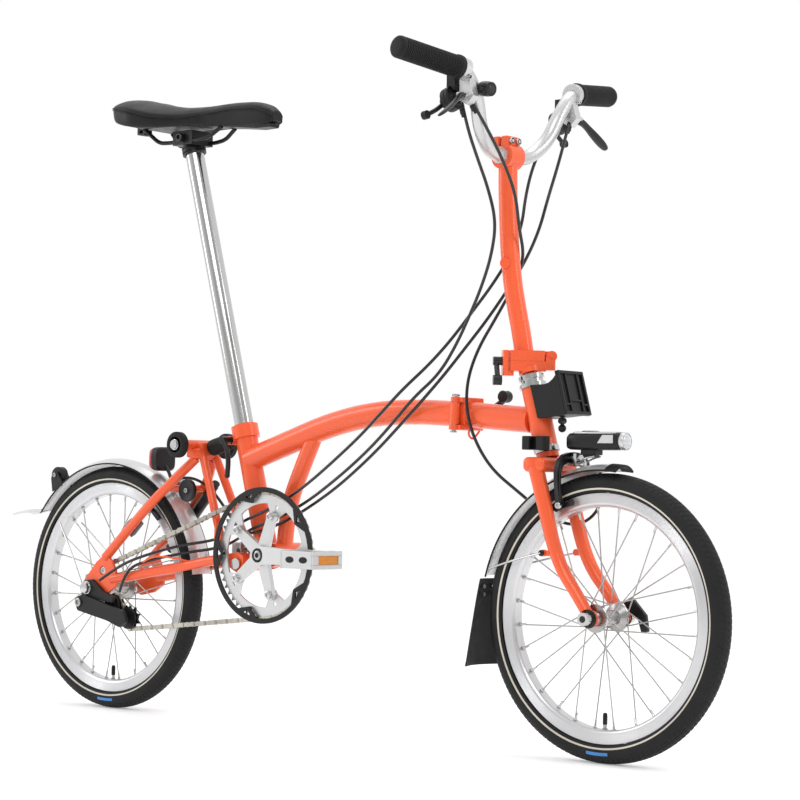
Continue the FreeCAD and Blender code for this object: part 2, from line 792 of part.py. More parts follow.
def mudguard_stays_front():
    parts = []
    for side in (-1, 1):
        parts.append(bent([at(960, side * 47.5, 301), at(905, side * 40, 289), at(848, side * 25.5,
            274)], 1.6))
    return parts


def front_flap():
    """The rubber flap that hangs behind the front wheel and widens towards the road."""
    top = [at(829, -21, 258), at(824, 0, 258), at(829, 21, 258)]
    low = [at(820, -42, 127), at(808, 0, 127), at(820, 42, 127)]
    wires = []
    for row in (top, low):
        back = [p - V(2.5, 0, 0) for p in reversed(row)]
        edges = [
            Part.Arc(*row).toShape(),
            Part.makeLine(row[2], back[0]),
            Part.Arc(*back).toShape(),
            Part.makeLine(back[2], row[0]),
        ]
        wires.append(Part.Wire(edges))
    return Part.makeLoft(wires, True, True)


def front_lamp():
    body = soft_block(at(976, -15, 452), at(1072, 15, 478), 4)
    foot = block(at(996, -9, 444), at(1030, 9, 453))
    return fuse([body, foot])


def lamp_lens():
    return rod(at(1072.2, 0, 465), at(1078, 0, 465), 11.5)


def lamp_bracket():
    strip = bent([at(998, 0, 433), at(1000, 0, 441), at(1012, 0, 441.9), at(1024, 0, 441)], 1.8)
    washer = pipe(at(995.1, 0, 432), at(998.6, 0, 432), 4.2, 3.02)
    body = fuse([strip, washer])
    return body.cut(rod(at(980, 0, 432), at(1010, 0, 432), 3.02))


def front_axle():
    parts = [rod(at(1045, -55, 209.5), at(1045, 55, 209.5), FRONT_AXLE_R)]
    for side in (-1, 1):
        parts.append(rod(at(1045, side * 43.5, 209.5), at(1045, side * 60, 209.5), 9.5))
    return fuse(parts)


def wheel_hook():
    """The hook on the left fork end that holds the folded package together."""
    body = slab([(1040, 232), (1058, 238), (1082, 214), (1086, 190), (1074, 188), (1068, 206), (1048,
        222)], 45, 52, 3)
    return body.cut(rod(at(1045, 40, 209.5), at(1045, 60, 209.5), 10))


# Rear frame


def rear_dropout(side):
    outline = [(-15, 200), (-15, 222), (14, 254), (36, 268), (52, 258), (62, 240), (64, 214), (40, 200),
        (10, 194)]
    return slab(outline, side * 55.5 - 2.5, side * 55.5 + 2.5, 5)


def rear_frame():
    parts = []
    for side in (-1, 1):
        parts.append(rear_dropout(side))
        seat_stay = [
            at(34, side * 55.5, 262),
            at(88, side * 55, 310),
            at(146, side * 52, 362),
            at(186, side * 38, 401),
            at(214, side * 20, 434),
        ]
        parts.append(bent(seat_stay, 8))
        chain_stay = [
            at(52, side * 55, 226),
            at(110, side * 53, 235),
            at(158, side * 42, 245),
            at(208, side * 32, 254),
            at(262, side * 29, 265),
            at(331, side * 28.5, 272),
        ]
        parts.append(bent(chain_stay, 8.2))
        cheek = [(300, 262), (331, 247), (344, 256), (344, 276), (330, 281), (300, 276)]
        parts.append(slab(cheek, side * 28.5 - 7.5, side * 28.5 + 7.5, 5))
        strut = [at(226, side * 15, 436), at(246, side * 20, 392), at(266, side * 25, 345), at(296,
            side * 29, 276)]
        parts.append(bent(strut, 7))
    parts.append(rod(at(208, -50, 456), at(208, 50, 456), 9))
    parts.append(rod(at(202, -24, 444), at(232, -24, 441), 9).common(block(at(190, -30, 430), at(230, 30,
        460))))
    parts.append(soft_block(at(206, -22, 432), at(228, 22, 462), 5))
    parts.append(rod(at(168, -42, 383), at(168, 42, 383), 6))
    parts.append(rod(at(243, -28, 261), at(243, 28, 261), 6))
    body = fuse(parts)
    body = body.cut(rod(at(0, -70, 209.5), at(0, 70, 209.5), REAR_AXLE_R + RUNNING))
    body = body.cut(rod(at(331, -60, 262), at(331, 60, 262), 5 + RUNNING))
    body = body.cut(rod(at(208, -70, 456), at(208, 70, 456), 4))
    body = body.cut(rod(at(168, 0, 383) - V(30, 0, 0), at(168, 0, 383) + V(30, 0, 0), 3.02))
    for side in (-1, 1):
        body = body.cut(rod(at(30, side * 50, 240), at(30, side * 62, 240), 7.5))
    return body


def suspension_block():
    """The rubber spring between the rear frame and the seat clamp."""
    return rod(at(231.6, 0, 451.7), at(271.5, 0, 462), 13)


def rear_mudguard():
    return mudguard(at(*REAR_AXLE), 8, 144, 23, 223.5)


def mudguard_stays_rear():
    parts = []
    for side in (-1, 1):
        points = [at(-17, side * 61.6, 214), at(-62, side * 45, 262), at(-120, side * 25.5, 318)]
        parts.append(bent(points, 1.5))
    return parts


def rear_flap():
    wires = []
    for x, z, half in ((-180, 336, 21), (-250.7, 332, 24)):
        points = [at(x, -half, z), at(x, half, z), at(x, half, z + 2.5), at(x, -half, z + 2.5)]
        wires.append(Part.makePolygon(points + points[:1]))
    body = Part.makeLoft(wires, True, True)
    keep_out = mudguard(at(*REAR_AXLE), 130, 144.05, 23.2, 223.8)
    return body.cut(keep_out)


def rear_light():
    body = soft_block(at(103, -23, 412), at(122, 23, 453), 3)
    lens = soft_block(at(99, -21, 414), at(104, 21, 451), 2)
    arm = rod(at(120, 0, 418), at(132.5, 0, 401), 3)
    return fuse([body.cut(lens), arm])


def rear_lens():
    return soft_block(at(99, -21, 414), at(104, 21, 451), 2)


def pump():
    start = at(84, 53.5, 279)
    end = at(196, 34, 379)
    run = (end - start).normalize()
    barrel = rod(start, end, 9)
    caps = [rod(start - run * 5, start, 10), rod(end, end + run * 22, 7.5)]
    return fuse([barrel] + caps)


def frame_roller(side):
    return turned(at(208, side * 58, 456), [(4.05, -6.5), (19, -6.5), (21.5, -4), (21.5, 4), (19, 6.5),
        (4.05, 6.5)])


def roller_axle():
    parts = [rod(at(208, -67, 456), at(208, 67, 456), 3.98)]
    for side in (-1, 1):
        parts.append(rod(at(208, side * 65, 456), at(208, side * 68, 456), 8))
    return fuse(parts)


def guard_roller():
    """The small wheel on top of the rear mudguard, on which the folded bicycle rolls."""
    return turned(at(-152, 0, 402), [(3.05, -8), (13, -8), (14.5, -6), (14.5, 6), (13, 8), (3.05, 8)])


def guard_roller_mount():
    parts = [rod(at(-152, -12, 402), at(-152, 12, 402), 3)]
    for side in (-1, 1):
        ear = [(-158, 408), (-146, 408), (-134, 390), (-130, 380), (-160, 366), (-162, 396)]
        parts.append(slab(ear, side * 11 - 1.5, side * 11 + 1.5, 1))
    body = fuse(parts)
    return body.cut(turned(at(*REAR_AXLE), [(150, -30), (223.8, -30), (223.8, 30), (150, 30)]))


def guide_disc():
    disc = rod(at(214, -42, 380), at(214, -35, 380), 19)
    arm = rod(at(214, -35, 380), at(214, -26, 380), 5)
    clip = block(at(211, -30, 376), at(243, -24, 384))
    body = fuse([disc, arm, clip])
    strut = [at(226, -15, 436), at(246, -20, 392), at(266, -25, 345), at(296, -29, 276)]
    return body.cut(bent(strut, 7.02))


def stay_plate():
    """The small quarter-round guard clipped to the right seat stay."""
    body = slab([(70, 315), (84, 330), (104, 332), (118, 322), (98, 303), (88, 298)], -60, -56, 4)
    stay = [at(34, -55.5, 262), at(88, -55, 310), at(146, -52, 362), at(186, -38, 401)]
    return body.cut(bent(stay, 8.05))


def rear_caliper_bolt():
    bolt = rod(at(146, 0, 383), at(182, 0, 383), 3)
    nut = rod(at(174.4, 0, 383), at(180, 0, 383), 6)
    bridge = slab([(158, 378), (161.5, 378), (161.5, 398), (158, 398)], -12, 12, 1)
    pivots = [rod(at(138, side * 6, 391), at(160, side * 6, 391), 2) for side in (-1, 1)]
    return fuse([bolt, nut, bridge] + pivots)


def rear_arm(side):
    x = 152 if side < 0 else 144
    points = [at(x, side * 6, 391), at(x, side * 27, 386), at(x - 14, side * 30, 372), at(112, side * 26,
        350)]
    arm = bent(points, 3.6)
    hub_piece = rod(at(x - 3.8, side * 6, 391), at(x + 3.8, side * 6, 391), 6.5)
    pad = bent([at(96, side * 17, 352), at(112, side * 17, 343), at(126, side * 17, 331)], 3.4)
    post = rod(at(112, side * 15, 343), at(112, side * 28, 348), 3.2)
    return fuse([arm, hub_piece, pad, post]).cut(rod(at(130, side * 6, 391), at(170, side * 6, 391), 2.05))


# Drive train


def pitch_radius(teeth):
    return CHAIN_PITCH / (2 * math.sin(math.pi / teeth))


def toothed(centre, teeth, half_thickness, bore_r):
    """A chain wheel: low round-topped teeth that stay between the chain's side plates."""
    radius = pitch_radius(teeth)
    points = []
    for i in range(teeth):
        for step, reach in ((0.0, -3.6), (0.28, -1.5), (0.42, 2.8), (0.58, 2.8), (0.72, -1.5)):
            angle = 2 * math.pi * (i + step) / teeth
            out = V(math.cos(angle), 0, math.sin(angle))
            points.append(centre + out * (radius + reach) - ACROSS * half_thickness)
    body = Part.Face(Part.makePolygon(points + points[:1])).extrude(V(0, 2 * half_thickness, 0))
    return body.cut(rod(centre - ACROSS * 20, centre + ACROSS * 20, bore_r))


def chain_loop(offset, y):
    """The chain's closed path round its four wheels, moved out or in by an offset."""
    wheels = [
        (LOWER_JOCKEY, pitch_radius(JOCKEY_TEETH)),
        (CRANK_AXLE, pitch_radius(RING_TEETH)),
        (REAR_AXLE, pitch_radius(SPROCKET_TEETH)),
        (UPPER_JOCKEY, -pitch_radius(JOCKEY_TEETH)),
    ]
    count = len(wheels)
    leave = []
    arrive = [None] * count
    for i in range(count):
        (x1, _, z1), s1 = wheels[i]
        (x2, _, z2), s2 = wheels[(i + 1) % count]
        s1 += offset
        s2 += offset
        length = math.hypot(x2 - x1, z2 - z1)
        normal = math.atan2(z2 - z1, x2 - x1) + math.acos((s2 - s1) / length)
        n = V(math.cos(normal), 0, math.sin(normal))
        leave.append(at(x1, y, z1) - n * s1)
        arrive[(i + 1) % count] = at(x2, y, z2) - n * s2
    edges = []
    for i in range(count):
        (x, _, z), s = wheels[i]
        radius = abs(s + offset)
        centre = at(x, y, z)
        first = math.atan2(arrive[i].z - z, arrive[i].x - centre.x)
        last = math.atan2(leave[i].z - z, leave[i].x - centre.x)
        if s > 0 and last < first:
            last += 2 * math.pi
        if s < 0 and last > first:
            last -= 2 * math.pi
        middle = (first + last) / 2
        through = centre + V(radius * math.cos(middle), 0, radius * math.sin(middle))
        edges.append(Part.Arc(arrive[i], through, leave[i]).toShape())
        edges.append(Part.makeLine(leave[i], arrive[(i + 1) % count]))
    return Part.Wire(edges)


def chain():
    plates = []
    for y in (CHAIN_Y - 3.6, CHAIN_Y + 2.3):
        outer = Part.Face(chain_loop(3.8, y)).extrude(V(0, 1.3, 0))
        inner = Part.Face(chain_loop(-3.8, y)).extrude(V(0, 1.3, 0))
        plates.append(outer.cut(inner))
    return group(plates)


def chainring():
    """The toothed ring, open inside, with five lugs for the spider's bolts."""
    body = toothed(at(402, CHAIN_Y, 278.5), RING_TEETH, 1.5, 84)
    lift = ACROSS * (CHAIN_Y - 1.5)
    parts = [body]
    for out, side, tip in ring_of(5, BOLT_CIRCLE_R):
        parts.append(rod(tip + lift, tip + lift + ACROSS * 3, 9))
        for lean in (-1, 1):
            foot = tip + out * 21 + side * (26 * lean)
            flank = [tip + side * (8 * lean), foot, tip + out * 24 + side * (6 * lean), tip + out * 6]
            flank = [point + lift for point in flank]
            parts.append(Part.Face(Part.makePolygon(flank + flank[:1])).extrude(ACROSS * 3))
    body = fuse(parts)
    for _, _, tip in ring_of(5, BOLT_CIRCLE_R):
        body = body.cut(rod(tip - ACROSS * 60, tip, 4.1))
    return body


def chain_guard():
    """The black ring outside the chainring, held by five lobes with a small window each."""
    outer = ACROSS * -53.2
    depth = ACROSS * 3
    centre = at(*CRANK_AXLE)
    parts = [pipe(centre + outer, centre + outer + depth, 110, 102)]
    windows = []
    for out, side, spot in ring_of(5, 103, 0.5):
        base = spot + outer
        lobe = [base - side * 30, base - out * 15, base + side * 30, base + out * 4]
        parts.append(Part.Face(rounded(lobe, 3)).extrude(depth))
        gap = [base - out * 2 - side * 9, base - out * 10.5, base - out * 2 + side * 9]
        windows.append(Part.Face(Part.makePolygon(gap + gap[:1])).extrude(depth))
        parts.append(rod(spot - out * 12.5 + ACROSS * -50.2, spot - out * 12.5 + ACROSS * -46.6, 2.5))
    body = fuse(parts)
    for window in windows:
        body = body.cut(window)
    return body


def crank_point(length, y, rise=0):
    """A point along the right crank, which points straight forward."""
    return at(402 + length, y, 278.5 + rise)


def right_crank():
    centre = at(*CRANK_AXLE)
    boss = rod(centre + ACROSS * -62, centre + ACROSS * -47, 17)
    arm_wires = []
    stations = ((0, 15, -62, -50), (60, 12.5, -69, -58), (120, 11.5, -75, -64), (168, 11, -79, -68))
    for length, half, y_low, y_high in stations:
        points = [
            crank_point(length, y_low, -half),
            crank_point(length, y_low, half),
            crank_point(length, y_high, half),
            crank_point(length, y_high, -half),
        ]
        arm_wires.append(Part.makePolygon(points + points[:1]))
    arm = Part.makeLoft(arm_wires, True, True)
    eye = rod(crank_point(CRANK_LENGTH, -79), crank_point(CRANK_LENGTH, -68), 13.5)
    parts = [boss, arm, eye]
    for out, side, tip in ring_of(5, BOLT_CIRCLE_R):
        tip += ACROSS * -55
        root = centre + ACROSS * -55
        leg = [root - side * 12, tip - side * 7.5, tip + side * 7.5, root + side * 12]
        parts.append(Part.Face(Part.makePolygon(leg + leg[:1])).extrude(ACROSS * 8))
        parts.append(rod(tip, tip + ACROSS * 8, 8.5))
    body = fuse(parts)
    for _, _, tip in ring_of(5, BOLT_CIRCLE_R):
        body = body.cut(rod(tip + ACROSS * -70, tip, 4.1))
    body = body.cut(rod(centre + ACROSS * -80, centre, 8.02))
    return body.cut(rod(crank_point(CRANK_LENGTH, -90), crank_point(CRANK_LENGTH, -60), 4.5 + RUNNING))


def ring_bolts():
    bolts = []
    for _, _, spot in ring_of(5, BOLT_CIRCLE_R):
        shank = rod(spot + ACROSS * -57.2, spot + ACROSS * -42, 4.05)
        head = rod(spot + ACROSS * -57.5, spot + ACROSS * -55.1, 6)
        bolts.append(fuse([shank, head]))
    return bolts


def crank_spindle():
    centre = at(*CRANK_AXLE)
    return rod(centre + ACROSS * -62, centre + ACROSS * 62, 8)


def left_crank():
    centre = at(*CRANK_AXLE)
    boss = rod(centre + ACROSS * 47, centre + ACROSS * 62, 15)
    arm_wires = []
    for length, half, y_low, y_high in ((0, 13, 50, 62), (60, 12, 58, 69), (120, 11.5, 64, 75), (168, 11,
        68, 79)):
        points = [
            crank_point(-length, y_low, -half),
            crank_point(-length, y_low, half),
            crank_point(-length, y_high, half),
            crank_point(-length, y_high, -half),
        ]
        arm_wires.append(Part.makePolygon(points + points[:1]))
    arm = Part.makeLoft(arm_wires, True, True)
    eye = rod(crank_point(-CRANK_LENGTH, 68), crank_point(-CRANK_LENGTH, 79), 13.5)
    body = fuse([boss, arm, eye]).cut(rod(centre, centre + ACROSS * 80, 8.02))
    return body.cut(rod(crank_point(-CRANK_LENGTH, 60), crank_point(-CRANK_LENGTH, 90), 4.5 + RUNNING))


def pedal_spindle(side):
    """The spindle, screwed into the crank."""
    near, far = PEDAL_Y
    centre = crank_point(-side * CRANK_LENGTH, 0)
    return fuse([
        rod(centre + ACROSS * (side * 67), centre + ACROSS * (side * (far - 8)), 4.5),
        rod(centre + ACROSS * (side * 79.2), centre + ACROSS * (side * (near + 4)), 7),
    ])


def pedal(side):
    """A cage pedal: side plates, end plates and a barrel round the spindle."""
    near, far = PEDAL_Y
    x, _, z = -side * CRANK_LENGTH + 402, 0, 278.5
    low = at(x - 35, min(side * (near + 5), side * far), z - 14)
    high = at(x + 35, max(side * (near + 5), side * far), z + 14)
    cage = soft_block(low, high, 4)
    for x_low, x_high in ((x - 30, x - 12.5), (x + 12.5, x + 30)):
        y_low, y_high = sorted((side * (near + 11), side * (far - 6)))
        cage = cage.cut(block(at(x_low, y_low, z - 20), at(x_high, y_high, z + 20)))
    bore_low, bore_high = sorted((side * (near - 5), side * (far - 7.5)))
    cage = cage.cut(rod(at(x, bore_low, z), at(x, bore_high, z), 4.5 + RUNNING))
    return cage.cut(rod(at(x, side * 70, z), at(x, side * (near + 5), z), 7.5))


def sprocket():
    return toothed(at(0, CHAIN_Y, WHEEL_R), SPROCKET_TEETH, 1.3, 11)


def tensioner_mount():
    outline = [(-14, 196), (-8, 222), (12, 224), (40, 205), (66, 196), (64, 186), (20, 190), (0, 192),
        (-24, 172)]
    body = slab(outline + [(-24, 190)], -66, -59, 3)
    body = body.cut(rod(at(0, -80, 209.5), at(0, -50, 209.5), 5.1))
    return body.cut(rod(at(-12, -80, 184), at(-12, -40, 184), 4.05))


def tensioner_arm():
    plate = slab([(-24, 190), (-4, 198), (98, 174), (108, 158), (92, 146), (60, 156), (-16, 170)], -73,
        -66.3, 6)
    pivot = rod(at(-12, -74, 184), at(-12, -58.6, 184), 4)
    axles = []
    for x, _, z in (UPPER_JOCKEY, LOWER_JOCKEY):
        axles.append(rod(at(x, -67, z), at(x, -39, z), 3))
        axles.append(rod(at(x, -39, z), at(x, -37, z), 6))
    cage = slab([(44, 190), (58, 188), (104, 166), (98, 150), (84, 152), (42, 172)], -39.5, -38, 4)
    return fuse([plate, pivot, cage] + axles)


def jockey(place):
    x, _, z = place
    wheel = toothed(at(x, CHAIN_Y, z), JOCKEY_TEETH, 1.5, 3 + RUNNING)
    disc = pipe(at(x, CHAIN_Y - 9, z), at(x, CHAIN_Y - 5.5, z), 18, 3 + RUNNING)
    neck = pipe(at(x, CHAIN_Y - 6, z), at(x, CHAIN_Y - 1.5, z), 7, 3 + RUNNING)
    return fuse([wheel, disc, neck])


def rear_axle():
    parts = [rod(at(0, -74, WHEEL_R), at(0, 70, WHEEL_R), REAR_AXLE_R)]
    parts.append(rod(at(0, -73, WHEEL_R), at(0, -66.2, WHEEL_R), 9.5))
    parts.append(rod(at(0, 58.2, WHEEL_R), at(0, 66, WHEEL_R), 9.5))
    return fuse(parts)


# Cables


def front_brake_cable():
    """From the right brake lever, round the stem and under the hinge, up to the front caliper."""
    line = [
        (876, -118, 957), (884, -96, 925), (892, -66, 880), (894, -36, 832), (884, -14, 786), (870, 20,
            742),
        (846, 24, 700), (826, 8, 652), (808, -14, 602), (799, -27, 552), (801, -27, 502), (811, -14, 458),
        (832, 0, 420), (862, 22, 390), (896, 46, 356), (938, 60, 338), (978, 60, 354), (1000, 53, 390),
        (998, 42, 426),
    ]
    return cord("front_brake_cable", [at(*point) for point in line], CABLE_R)


def rear_brake_cable():
    """From the left brake lever, under the main tube, past the pulley and up to the rear caliper."""
    line = [
        (876, 118, 957), (884, 96, 925), (890, 70, 880), (890, 48, 832), (880, 42, 786), (858, 38, 740),
        (832, 28, 696), (804, 14, 650), (776, -4, 606), (748, -20, 564), (714, -32, 524), (672, -34, 486),
        (630, -32, 452), (584, -30, 419), (538, -28, 389), (490, -26, 363), (444, -24, 341), (398, -24,
            324),
        (356, -25, 312), (322, -14, 314), (290, -6, 331), (264, -5, 358), (238, -8, 384), (208, -13,
            400), (180, -19, 402),
        (158, -24, 396),
    ]
    return cord("rear_brake_cable", [at(*point) for point in line], CABLE_R)


def derailleur_cable():
    """From the right shifter to the chain tensioner."""
    line = [
        (851, -111, 956), (846, -93, 926), (846, -69, 886), (852, -48, 840), (857, -35, 792), (845, -29,
            745),
        (824, -24, 700), (798, -20, 656), (770, -18, 610), (742, -24, 566), (706, -41, 530), (668, -43,
            492),
        (626, -41, 457), (580, -38, 425), (534, -36, 396), (486, -33, 369), (440, -31, 348), (394, -30,
            332),
        (352, -31, 318), (320, -24, 302), (286, -15, 291), (250, -15, 283), (214, -32, 277), (176, -46,
            269),
        (138, -55, 260), (106, -63, 249), (94, -69, 227), (84, -67, 206),
    ]
    return cord("derailleur_cable", [at(*point) for point in line], CABLE_R)


def hub_gear_cable():
    """From the left shifter to the indicator chain at the rear axle."""
    line = [
        (851, 111, 956), (845, 93, 926), (844, 69, 886), (848, 48, 840), (851, 36, 792), (836, 27, 746),
        (814, 14, 704), (786, 0, 662), (756, -12, 620), (724, -28, 580), (690, -48, 543), (650, -52, 506),
        (608, -50, 472), (562, -48, 440), (516, -45, 410), (470, -40, 384), (424, -36.5, 362), (380, -36,
            345),
        (342, -36, 332), (310, -22, 319), (278, -11, 305), (244, -16, 296), (210, -33, 290), (174, -47,
            281),
        (138, -58, 270), (104, -67, 258), (72, -72, 242), (42, -75, 224),
    ]
    return cord("hub_gear_cable", [at(*point) for point in line], CABLE_R)


def main():
    rear = at(*REAR_AXLE)
    front = at(*FRONT_AXLE)
    nodes = {
        "main_frame": main_frame(),
        "frame_hardware": group([bottom_bracket(), hinge_pin(), rear_hinge_pin(), cable_pulley()]),
        "seat_clamp": seat_clamp(),
        "main_clamp_plate": main_clamp_plate(),
        "main_clamp_lever": main_clamp_lever(),
        "seat_lever": seat_lever(),
        "seatpost": seatpost(),
        "saddle_frame": group([saddle_clamp(), saddle_shell()] + saddle_rails()),
        "saddle_cover": saddle_cover(),
        "front_frame": front_frame(),
        "headset": headset(),
        "head_fittings": group([carrier_block(), cable_clip()]),
        "carrier_latch": carrier_latch(),
        "fork": fork(),
        "stem_base": stem_base(),
        "front_mudguard": front_mudguard(),
        "front_flap": front_flap(),
        "fork_fittings": group([front_lamp(), lamp_lens(), wheel_hook(), lamp_bracket()]),
        "fork_hardware": group([front_axle(), caliper_bolt()] + mudguard_stays_front()),
        "front_arm_right": front_arm(-1),
        "front_arm_left": front_arm(1),
        "stem": stem(),
        "handlebar": group([handlebar(), pair(brake_bracket), pair(lever_pin)] + bar_bolts()),
        "grips": grips(),
        "bar_controls": group([shifter_body(-1), shifter_body(1), bell()]),
        "brake_lever_right": brake_lever(-1),
        "brake_lever_left": brake_lever(1),
        "shifter_lever_right": shifter_lever(-1),
        "shifter_lever_left": shifter_lever(1),
        "stem_clamp_plate": stem_clamp_plate(),
        "stem_clamp_lever": stem_clamp_lever(),
        "front_tyre": group([tyre(front), valve(front)]),
        "front_rim": rim(front),
        "front_hub": group([hub(front, 36.9, 27, 20, 11, FRONT_AXLE_R + RUNNING)] + spokes(front, 27, 17)),
        "rear_frame": rear_frame(),
        "suspension_block": suspension_block(),
        "rear_mudguard": group([rear_mudguard(), rear_flap()]),
        "rear_hardware": group([rear_axle(), roller_axle(), rear_caliper_bolt()] + mudguard_stays_rear()),
        "rear_fittings": group([rear_light(), rear_lens(), pump(), tensioner_mount(), guide_disc(),
            stay_plate(),
                                guard_roller_mount()]),
        "rear_arm_right": rear_arm(-1),
        "rear_arm_left": rear_arm(1),
        "rear_tyre": group([tyre(rear), valve(rear)]),
        "rear_rim": rim(rear),
        "rear_hub": group([hub(rear, 41.5, 29, 22, 13, REAR_AXLE_R + RUNNING)] + spokes(rear, 29, 19)),
        "sprocket": sprocket(),
        "chain": chain(),
        "cranks": group([right_crank(), left_crank()]),
        "chainring": chainring(),
        "chain_guard": chain_guard(),
        "crank_hardware": group([crank_spindle(), pedal_spindle(-1), pedal_spindle(1)] + ring_bolts()),
        "pedal_right": pedal(-1),
        "pedal_left": pedal(1),
        "tensioner_arm": tensioner_arm(),
        "jockey_upper": jockey(UPPER_JOCKEY),
        "jockey_lower": jockey(LOWER_JOCKEY),
        "frame_rollers": pair(frame_roller),
        "guard_roller": guard_roller(),
        "front_brake_cable": front_brake_cable(),
        "rear_brake_cable": rear_brake_cable(),
        "gear_cables": group([derailleur_cable(), hub_gear_cable()]),
    }
    for name, shape in nodes.items():
        save(name, shape)


main()
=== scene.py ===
"""Looks for a folding bicycle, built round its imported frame. Everything is in metres.

Places are written as they are drawn, in millimetres from the rear axle's vertical line, the bicycle's
middle plane and the ground, and spot() turns them into the frame's metres.
"""

import math

import bmesh
import bpy
import numpy as np
from mathutils import Matrix, Vector


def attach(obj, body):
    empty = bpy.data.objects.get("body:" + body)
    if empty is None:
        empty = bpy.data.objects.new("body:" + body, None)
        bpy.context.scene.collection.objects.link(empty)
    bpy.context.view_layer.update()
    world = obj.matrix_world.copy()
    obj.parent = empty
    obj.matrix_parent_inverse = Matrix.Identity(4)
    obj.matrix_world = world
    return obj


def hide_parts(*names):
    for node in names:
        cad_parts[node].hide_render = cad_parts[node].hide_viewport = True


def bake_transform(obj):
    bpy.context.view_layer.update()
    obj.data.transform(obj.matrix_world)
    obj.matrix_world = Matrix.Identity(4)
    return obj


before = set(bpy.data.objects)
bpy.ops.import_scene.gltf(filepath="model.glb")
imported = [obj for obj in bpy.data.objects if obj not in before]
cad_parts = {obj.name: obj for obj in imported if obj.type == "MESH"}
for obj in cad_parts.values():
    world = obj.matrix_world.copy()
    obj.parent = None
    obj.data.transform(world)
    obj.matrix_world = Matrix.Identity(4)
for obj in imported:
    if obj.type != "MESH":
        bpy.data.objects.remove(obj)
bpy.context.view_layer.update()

MM = 0.001
MIDDLE = 501.9
FRONT_AXLE = (1045, 0, 209.5)
REAR_AXLE = (0, 0, 209.5)
CRANK_AXLE = (402, 0, 278.5)
CHAIN_Y = -45
CHAIN_PITCH = 12.7
LEAN = math.radians(15.85)
SPOKES = 28
ACROSS = Vector((0, 1, 0))
FORWARD = Vector((1, 0, 0))
UP = Vector((0, 0, 1))
SIDES = ((-1, "right"), (1, "left"))
WHITE = (1, 1, 1)
STUDIO_WALL = (0.56, 0.56, 0.57)
TOWARDS_VIEWER = (0.65, -0.76, 0)
PATCH_SCALE = 14.0
TYRE_MIDDLE, TYRE_SECTION, TYRE_INSIDE = 192, 17.5, 14
TREAD_STEPS = 864
CROWN_STEPS = 25
STEM, STEER, FRONT, MAIN, REAR = "handlebar_stem", "steering_body", "front_body", "main_body", "rear_body"


def spot(x, y, z):
    return Vector(((x - MIDDLE) * MM, y * MM, z * MM))


def spots(rows):
    return [spot(*row) for row in rows]


# Camera, lights and floor


def make_camera():
    """The photograph's camera, fitted to points on the wheels and the frame.

    The matrix holds its right, up and back directions and its place, in columns.
    """
    data = bpy.data.cameras.new("camera")
    data.lens = 103.22
    data.sensor_width = 36
    data.clip_end = 50
    camera = bpy.data.objects.new("camera", data)
    camera.matrix_world = Matrix((
        (0.76050, 0.00928, 0.64927, 2.4725),
        (0.64908, -0.03896, -0.75973, -2.7264),
        (0.01824, 0.99920, -0.03565, 0.4009),
        (0, 0, 0, 1),
    ))
    bpy.context.scene.collection.objects.link(camera)
    bpy.context.scene.camera = camera


def make_light(name, place, target, size, power):
    data = bpy.data.lights.new(name, "AREA")
    data.shape = "RECTANGLE"
    data.size, data.size_y = size
    data.energy = power
    light = bpy.data.objects.new(name, data)
    light.location = place
    light.rotation_mode = "QUATERNION"
    light.rotation_quaternion = (Vector(target) - Vector(place)).to_track_quat("-Z", "Y")
    bpy.context.scene.collection.objects.link(light)


def make_node(tree, kind, **settings):
    """Add a shader node, set its plain properties, and set its inputs by name or by number."""
    node = tree.nodes.new("ShaderNode" + kind)
    inputs = settings.pop("inputs", {})
    for name, value in settings.items():
        setattr(node, name, value)
    for name, value in inputs.items():
        if isinstance(value, bpy.types.NodeSocket):
            tree.links.new(value, node.inputs[name])
        else:
            node.inputs[name].default_value = value
    return node


def make_ramp(tree, value, stops):
    """A colour ramp between two (position, colour) stops."""
    ramp = make_node(tree, "ValToRGB", inputs={"Fac": value})
    for element, (position, colour) in zip(ramp.color_ramp.elements, stops):
        element.position = position
        element.color = (*colour, 1)
    return ramp.outputs["Color"]


def make_world():
    """An even pale studio, with a darker wall behind the viewer for dark and bright metal to reflect."""
    world = bpy.data.worlds.new("studio")
    bpy.context.scene.world = world
    world.use_nodes = True
    tree = world.node_tree
    tree.nodes.clear()
    coordinates = make_node(tree, "TexCoord")
    facing = make_node(tree, "VectorMath", operation="DOT_PRODUCT",
                       inputs={0: coordinates.outputs["Generated"], 1: TOWARDS_VIEWER})
    colour = make_ramp(tree, facing.outputs["Value"], ((0.15, WHITE), (0.75, STUDIO_WALL)))
    background = make_node(tree, "Background", inputs={"Color": colour})
    make_node(tree, "OutputWorld", inputs={"Surface": background.outputs["Background"]})


# Materials


def set_inputs(shader, **values):
    """Set a shader's inputs, with their names written with underscores."""
    for name, value in values.items():
        shader.inputs[name.replace("_", " ")].default_value = value


def node_material(name, colour, rough, metal, ior=1.5):
    material = bpy.data.materials.new(name)
    material.use_nodes = True
    tree = material.node_tree
    shader = tree.nodes["Principled BSDF"]
    set_inputs(shader, Base_Color=(*colour, 1), Roughness=rough, Metallic=metal, IOR=ior)
    return material, tree, shader


def texture_space(tree):
    return make_node(tree, "TexCoord").outputs["Object"]


def noise_of(tree, vector, scale, detail=3.0):
    noise = make_node(tree, "TexNoise", inputs={"Scale": scale, "Detail": detail, "Vector": vector})
    return noise.outputs["Fac"]


def ranged(tree, value, low, high):
    """Spread the middle of a noise between two values."""
    spread = make_node(tree, "MapRange", inputs={
        "From Min": 0.3, "From Max": 0.7, "To Min": low, "To Max": high, "Value": value})
    return spread.outputs["Result"]


